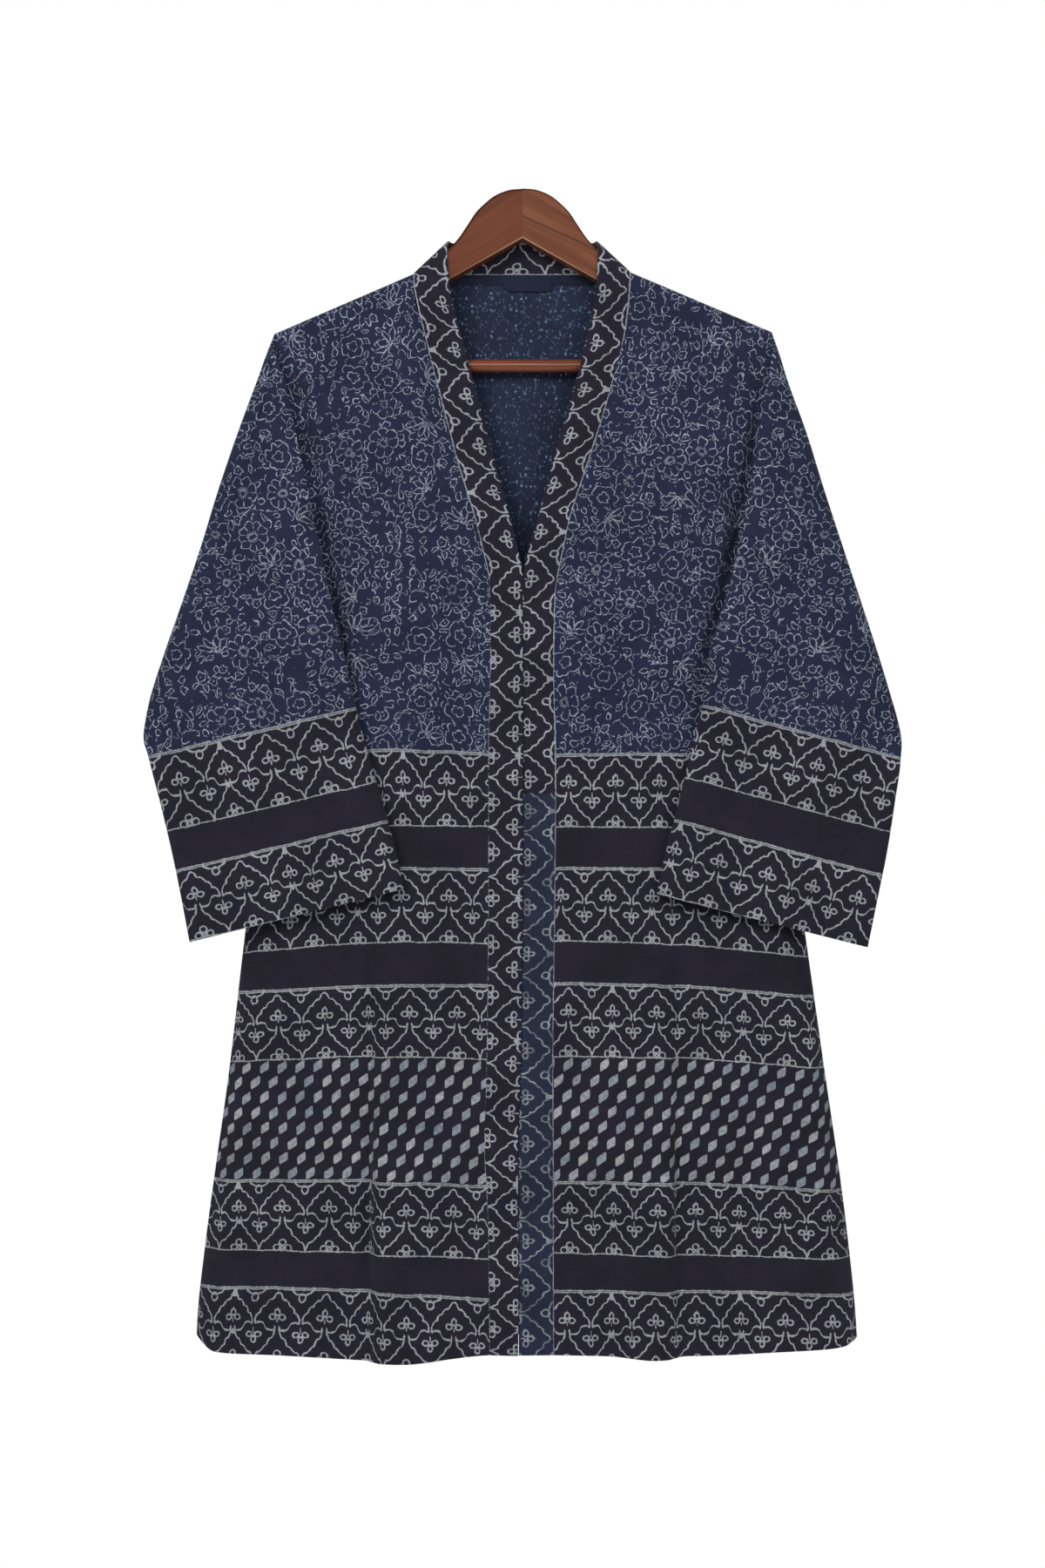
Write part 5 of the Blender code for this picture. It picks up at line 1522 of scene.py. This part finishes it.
def small_motifs(look, vector, x, y, taken):
    """Distance from the lines of the small blossoms, leaves, buds and hooks, and from a cell's middle."""
    small_x, small_y, small = cell_places(look, vector, x, y, SMALL_CELL, 0.62)
    small_x, small_y = turned(small_x, small_y, small[1] * FULL_TURN)
    small_distance = (small_x * small_x + small_y * small_y).do("SQRT")
    small_angle = small_y.do("ARCTAN2", small_x)
    lobes = abs((small_angle * 2.5).do("COSINE")).do("POWER", 0.6)
    blossom = (abs(small_distance - (lobes * 1.3 + 2.5)) * 0.85).least(small_distance - 0.10)
    leaf_share = (small_x + 4.4) / 8.8
    leaf_width = (leaf_share * math.pi).do("SINE").most(0.0) * 2.0
    leaf = abs(abs(small_y) - leaf_width).least((abs(small_y) + 0.1).unless(abs(small_x) > 0.7))
    leaf = leaf.unless(leaf_share < 0.0).unless(leaf_share > 1.0)
    bud = abs((small_x * small_x * 0.45 + small_y * small_y).do("SQRT") - 2.2).unless(small_angle > 2.6)
    hook = abs(small_distance - 3.0).unless(abs(small_angle) > 1.8)
    leaf_or_less = choose(small[0], LEAF_TO, leaf, choose(small[0], BUD_TO, bud, hook))
    tiny = choose(small[0], BLOSSOM_TO, blossom, leaf_or_less)
    return tiny.unless(taken.most(small[2] > SMALL_TO)), small_distance


def floral_ink(look, x, y):
    """Share of ink of the all-over flower print."""
    x, y = look.shaken(x, y, 9.0, 2.4)
    x, y = look.shaken(x, y, 2.6, 0.70)
    vector = look.vector(x, y, 0.0)
    large, taken = large_motifs(look, vector, x, y)
    tiny, small_distance = small_motifs(look, vector, x, y, taken)
    bent_x, bent_y = look.shaken(x, y, 12.0, 3.6)
    edges = look.cells(look.vector(bent_x, bent_y, 0.0), STEM_CELL, 1.0, "DISTANCE_TO_EDGE")
    broken = look.noise(look.vector(x, y, 5.0), 8.0, 1.0) < 0.50
    stems = Number(look.tree, edges.outputs["Distance"]) * STEM_CELL
    stems = stems.unless(broken).unless(taken.most(small_distance < 4.0))
    nearest = large.least(tiny, stems)
    worn = look.noise(vector, 2.3, 1.0).ramp(0.34, 0.46, 0.25, 1.0)
    return nearest.ramp(0.16, 0.50, 1.0, 0.0) * worn


def between(value, low, high):
    """1 where the value lies between two others."""
    return (value > low) * (value < high)


THREAD_WAVE = 2 * math.pi / 0.55


def weave(look, x, y):
    """Fine plain weave as bump, and its colour variation as a number round 1."""
    vector = look.vector(x, y, 0.0)
    slubs = look.noise(look.vector(x * 0.25, y * 4.0, 0.0), 3.0, 3.0)
    slubs = slubs + look.noise(look.vector(x * 4.0, y * 0.25, 3.0), 3.0, 3.0)
    cloud = look.noise(vector, 45.0, 3.0)
    shade = slubs.ramp(0.7, 1.3, 0.90, 1.10) * cloud.ramp(0.3, 0.7, 0.86, 1.14)
    height = (x * THREAD_WAVE).do("SINE") * (y * THREAD_WAVE).do("SINE")
    bump = look.bump(height * 0.5 + slubs, 0.00012, 0.35)
    crumple = look.noise(vector, 26.0, 3.0, 0.55)
    return shade, look.bump(crumple, 0.0016, 0.28, bump)


def shaded(look, colour, shade):
    """A colour multiplied by a number."""
    return add_node(look.tree, "VectorMath", {0: colour, "Scale": shade}, operation="SCALE").outputs[0]


# Borders down the cloth, in millimetres: where each one's top double line and base line lie
BODY_BORDERS = [  # top line, base line, shift on the wearer's right and left
    (483.0, 546.0, 89.5, 101.5),
    (581.5, 644.5, 8.5, 108.5),
    (680.0, 743.0, 1.5, 22.5),
    (848.0, 911.0, 4.5, 21.5),
    (943.0, 1006.0, 3.5, 24.0),
]
SLEEVE_BORDERS = {  # top line, base line, shift
    "right": [(328.6, 394.0, 106.0), (428.0, 489.0, 72.5)],
    "left": [(324.8, 388.0, 113.5), (424.7, 489.0, 14.5)],
}
BODY_STRETCH = 1.05
DIAMOND_ROWS = (743.0, 848.0)
DIAMOND_ACROSS = 15.6
DIAMOND_DOWN = 13.25


def stacked_borders(look, x, depth, borders):
    """Borders one below another, where the tables put them."""
    y = -OUTSIDE
    on_right = x < 0.0
    for top, base, *shifts in borders:
        here = between(depth, top - 0.8, base + 1.2)
        y = y + here * ((base - depth) * (BORDER_MM / (base - top)) + OUTSIDE)
        x = x + here * (on_right * (shifts[0] - shifts[-1]) + shifts[-1])
    return border_lines(look, x, y)


def body_print(name):
    """The printed cloth of the fronts and the back: flowers above, then borders, plain bands and diamonds."""
    look = Look(name, **CLOTH_FINISH)
    x, y, _ = look.flat()
    wavy = y + (look.noise(look.vector(x, y * 0.1, 0.0), 30.0, 2.0) - 0.5) * 2.2
    border = stacked_borders(look, x * BODY_STRETCH, wavy, BODY_BORDERS)
    flowers = floral_ink(look, x, y)
    diamonds, whiter = diamond_ink(look, x, wavy - DIAMOND_ROWS[0])
    above = wavy < BODY_BORDERS[0][0] - 0.6
    among = between(wavy, DIAMOND_ROWS[0] + 1.0, DIAMOND_ROWS[1] - 1.0)
    shade, normal = weave(look, x, y)
    ground = look.mix(above, BLACK_NAVY, NAVY)
    colour = look.mix(border * (1.0 - above) * (1.0 - among), ground, BORDER_INK)
    colour = look.mix(flowers * above, colour, FLORAL_INK)
    colour = look.mix(diamonds * among, colour, look.mix(whiter, DIAMOND_BLUE, DIAMOND_WHITE))
    return look.finish(shaded(look, colour, shade), normal=normal)


def sleeve_print(name, borders):
    """The printed cloth of a sleeve: flowers, a border, a plain band and a second border down to the cuff."""
    look = Look(name, **CLOTH_FINISH)
    x, y, _ = look.flat()
    wavy = y + (look.noise(look.vector(x, y * 0.1, 0.0), 30.0, 2.0) - 0.5) * 2.0
    border = stacked_borders(look, x, wavy, borders)
    flowers = floral_ink(look, x + 57.0, y + 31.0)
    above = wavy < borders[0][0] - 0.6
    shade, normal = weave(look, x, y)
    colour = look.mix(border * (1.0 - above), look.mix(above, BLACK_NAVY, NAVY), BORDER_INK)
    colour = look.mix(flowers * above, colour, FLORAL_INK)
    return look.finish(shaded(look, colour, shade), normal=normal)


def band_print(name, ground, strength=1.0):
    """The band's cloth: the border along its length."""
    look = Look(name, **CLOTH_FINISH)
    x, y, _ = look.flat()
    lines = border_lines(look, x, y)
    if strength < 1.0:
        faded = look.noise(look.vector(x, y, 0.0), 16.0, 2.0).ramp(0.35, 0.6, strength * 0.5, strength)
        lines = lines * faded
    shade, normal = weave(look, x, y)
    return look.finish(shaded(look, look.mix(lines, ground, BORDER_INK), shade), normal=normal)


def reverse_print(name):
    """The inside of the printed cloth: navy, where only dots and short dashes of the print come through."""
    look = Look(name, **CLOTH_FINISH)
    x, y, _ = look.flat()
    x, y = look.shaken(x, y, 6.0, 1.2)
    vector = look.vector(x * 1.15, y * 0.9, 0.0)
    node = look.cells(vector, 4.9, 1.0)
    chance = look.split(node.outputs["Color"])
    radius = chance[0] * chance[0] * 0.85 + 0.30
    spots = (Number(look.tree, node.outputs["Distance"]) * 4.9 - radius).ramp(-0.15, 0.30, 1.0, 0.0)
    spots = spots * (chance[1] > 0.42) * chance[2].ramp(0.0, 1.0, 0.30, 1.0)
    bent = look.vector(*look.shaken(x, y, 11.0, 4.0), 0.0)
    edges = look.cells(bent, 14.0, 1.0, "DISTANCE_TO_EDGE")
    dashes = (Number(look.tree, edges.outputs["Distance"]) * 14.0).ramp(0.25, 0.70, 1.0, 0.0)
    dashes = dashes * look.noise(vector, 2.2, 1.0).ramp(0.52, 0.60) * 0.5
    shade, normal = weave(look, x, y)
    colour = look.mix(spots.most(dashes), REVERSE_NAVY, REVERSE_INK)
    return look.finish(shaded(look, colour, shade), normal=normal)


def plain_cloth(name, colour):
    """Woven cloth of one colour, for the trims."""
    look = Look(name, **CLOTH_FINISH)
    x, y, _ = look.flat()
    shade, normal = weave(look, x, y)
    return look.finish(shaded(look, look.mix(0.0, colour, colour), shade), normal=normal)


# Wood: its darker and lighter colours, the painted highlight of the lower bevel and the painted shade of the
# upper rim, and the streaks of each arm
RIGHT_WOOD = ((0.110, 0.028, 0.0105), (0.155, 0.0415, 0.0155))
LEFT_WOOD = ((0.122, 0.037, 0.0155), (0.212, 0.072, 0.0320))
# Painted highlight along the arms' lower front bevel
PAINTED_EDGE_HIGHLIGHT = (0.520, 0.320, 0.210)
BAR_WOOD = ((0.128, 0.029, 0.0100), (0.190, 0.048, 0.0160))
WOOD_STREAK = (0.040, 0.014, 0.008)
# Painted shade on the arms' upper rounded rim
PAINTED_RIM_SHADE = (0.070, 0.022, 0.011)
RIGHT_STREAKS = [  # height at the mitre and slope, in millimetres, half width, strength
    (1.0, 0.62, 7.0, 0.35),
]
LEFT_STREAKS = [
    (-24.0, -0.47, 1.9, 0.80),
    (-28.5, -0.44, 0.6, 0.35),
    (-1.5, -0.60, 4.5, 0.50),
    (-12.0, -0.52, 0.8, 0.30),
    (-38.0, -0.53, 0.7, 0.25),
]


def wood(name, lean, dark, light, streaks, shine):
    """Wood with its grain along one direction of the front face; lean is the grain's angle."""
    look = Look(name, Coat_Weight=shine, Coat_Roughness=0.22, Specular_IOR_Level=0.08 + shine * 0.5)
    x, y, z = look.place()
    cosine, sine = math.cos(lean), math.sin(lean)
    along = x * cosine + z * sine
    off = z * cosine - x * sine
    bent = look.noise(look.vector(along * 0.012, off * 0.05, y * 0.05), 1.0, 2.0, 0.5, "3D")
    rings = look.noise(look.vector(along * 0.010, (off + bent * 9.0) * 0.16, y * 0.16), 1.0, 3.0, 0.6, "3D")
    fibres = look.noise(look.vector(along * 0.05, off * 2.0, y * 2.0), 1.0, 4.0, 0.6, "3D")
    colour = look.mix(rings.ramp(0.25, 0.75), dark, light)
    colour = look.mix(fibres.ramp(0.40, 0.80) * 0.20, colour, dark)
    for height, slope, half_width, share in streaks:
        line = abs(z - x * slope - height + (bent - 0.5) * 5.0).ramp(0.1, half_width, share, 0.0)
        colour = look.mix(line * rings.ramp(0.2, 0.5, 0.5, 1.0), colour, WOOD_STREAK)
    roughness = fibres.ramp(0.3, 0.7, 0.38 - shine * 0.4, 0.48 - shine * 0.4)
    normal = look.bump(fibres, 0.00010, 0.2)
    return look.finish(colour, roughness, normal)


def plain_wood(name, colour, shine):
    """Wood of one colour for the hanger's narrow edges, where it is a painted highlight on the lower bevel
    and painted shade on the upper rim.
    """
    return Look(name, Roughness=0.5 - 0.4 * shine, Specular_IOR_Level=shine).finish(colour)


def make_cloth():
    """All the pieces of cloth, with their prints."""
    body = body_print("body_print")
    reverse = reverse_print("reverse_print")
    for side in ("right", "left"):
        make_front(side, [body, reverse])
        make_sleeve(side, [sleeve_print(side + "_sleeve_print", SLEEVE_BORDERS[side]), reverse])
    inside = make_back([body, reverse])
    plain_band = band_print("band_print", BLACK_NAVY)
    blue_band = band_print("blue_band_print", BLUE_NAVY, 0.8)
    make_bands({"right": [plain_band], "left": [blue_band], "neck": [plain_band]})
    make_neck_trim(inside, plain_cloth("trim_cloth", TRIM_NAVY))


def make_hanger():
    """The two arms and the bar, with their wood, and flat colours for a painted highlight and painted shade
    on the arms' edges.
    """
    # The lower bevel's colour is a painted highlight
    edge = plain_wood("painted_highlight_wood", PAINTED_EDGE_HIGHLIGHT, 0.5)
    # The rim's colour is painted shade on the upper rounded edge
    rim = plain_wood("painted_rim_shade_wood", PAINTED_RIM_SHADE, 0.0)
    make_arm("right", wood("right_arm_wood", math.radians(31), *RIGHT_WOOD, RIGHT_STREAKS, 0.02), edge, rim)
    make_arm("left", wood("left_arm_wood", math.radians(-29), *LEFT_WOOD, LEFT_STREAKS, 0.02), edge, rim)
    make_bar(wood("bar_wood", 0.0, *BAR_WOOD, [], 0.45))


WHITE = (1, 1, 1)
FLOOR_PAINT = (0.86, 0.86, 0.85)
FLOOR_RADIUS, FLOOR_Z = 1.9, -1.85
SURROUND_LIGHT = 0.38
LIGHTS = [  # name, place, height of the point on the middle line it faces, width and height, power
    ("key", (-1.5, -2.4, 1.1), -0.45, (1.3, 1.3), 50.0),
    ("front", (0.0, -2.7, 0.75), -0.45, (1.0, 0.45), 13.0),
    ("fill", (1.7, -2.4, 0.4), -0.5, (1.4, 1.8), 20.0),
    ("back", (0.5, 2.3, 1.7), -0.5, (1.0, 1.0), 38.0),
]


def make_stage():
    """A round pale floor under the hanging jacket, low enough to leave the photograph's view white."""
    place = (0, 0, FLOOR_Z)
    bpy.ops.mesh.primitive_cylinder_add(vertices=96, radius=FLOOR_RADIUS, depth=0.02, location=place)
    floor = bpy.context.object
    floor.name = "floor"
    look = Look("floor_paint", Roughness=0.8)
    floor.data.materials.append(look.finish(look.mix(0.0, FLOOR_PAINT, FLOOR_PAINT)))


def make_light(name, place, faced, size, power):
    """A rectangular light that faces a point on the jacket's middle line."""
    data = bpy.data.lights.new(name, "AREA")
    data.shape = "RECTANGLE"
    data.size, data.size_y = size
    data.energy = power
    lamp = bpy.data.objects.new(name, data)
    lamp.location = place
    way = np.array((0.0, 0.0, faced)) - np.array(place)
    lamp.rotation_euler = (math.atan2(math.hypot(way[0], way[1]), -way[2]), 0, math.atan2(-way[0], way[1]))
    bpy.context.scene.collection.objects.link(lamp)


def make_lights():
    """Soft frontal studio light, stronger from above and from the viewer's left, on a white surround."""
    for light in LIGHTS:
        make_light(*light)
    world = bpy.data.worlds.new("white")
    bpy.context.scene.world = world
    world.use_nodes = True
    tree = world.node_tree
    lit = tree.nodes["Background"]
    feed(tree, lit.inputs["Color"], WHITE)
    feed(tree, lit.inputs["Strength"], SURROUND_LIGHT)
    seen = add_node(tree, "Background", {"Color": WHITE, "Strength": 1.0})
    rays = add_node(tree, "LightPath", {})
    inputs = {0: rays.outputs["Is Camera Ray"], 1: lit.outputs[0], 2: seen.outputs[0]}
    mix = add_node(tree, "MixShader", inputs)
    tree.links.new(mix.outputs[0], tree.nodes["World Output"].inputs["Surface"])


def make_camera():
    """The photograph's camera."""
    data = bpy.data.cameras.new("camera")
    data.sensor_width = CAMERA_SENSOR
    data.lens = CAMERA_LENS
    camera = bpy.data.objects.new("camera", data)
    camera.location = CAMERA_PLACE
    camera.rotation_euler = (math.radians(90), 0, 0)
    bpy.context.scene.collection.objects.link(camera)
    bpy.context.scene.camera = camera


make_camera()
make_stage()
make_lights()
make_hanger()
make_cloth()
bpy.context.scene.view_settings.view_transform = "Standard"
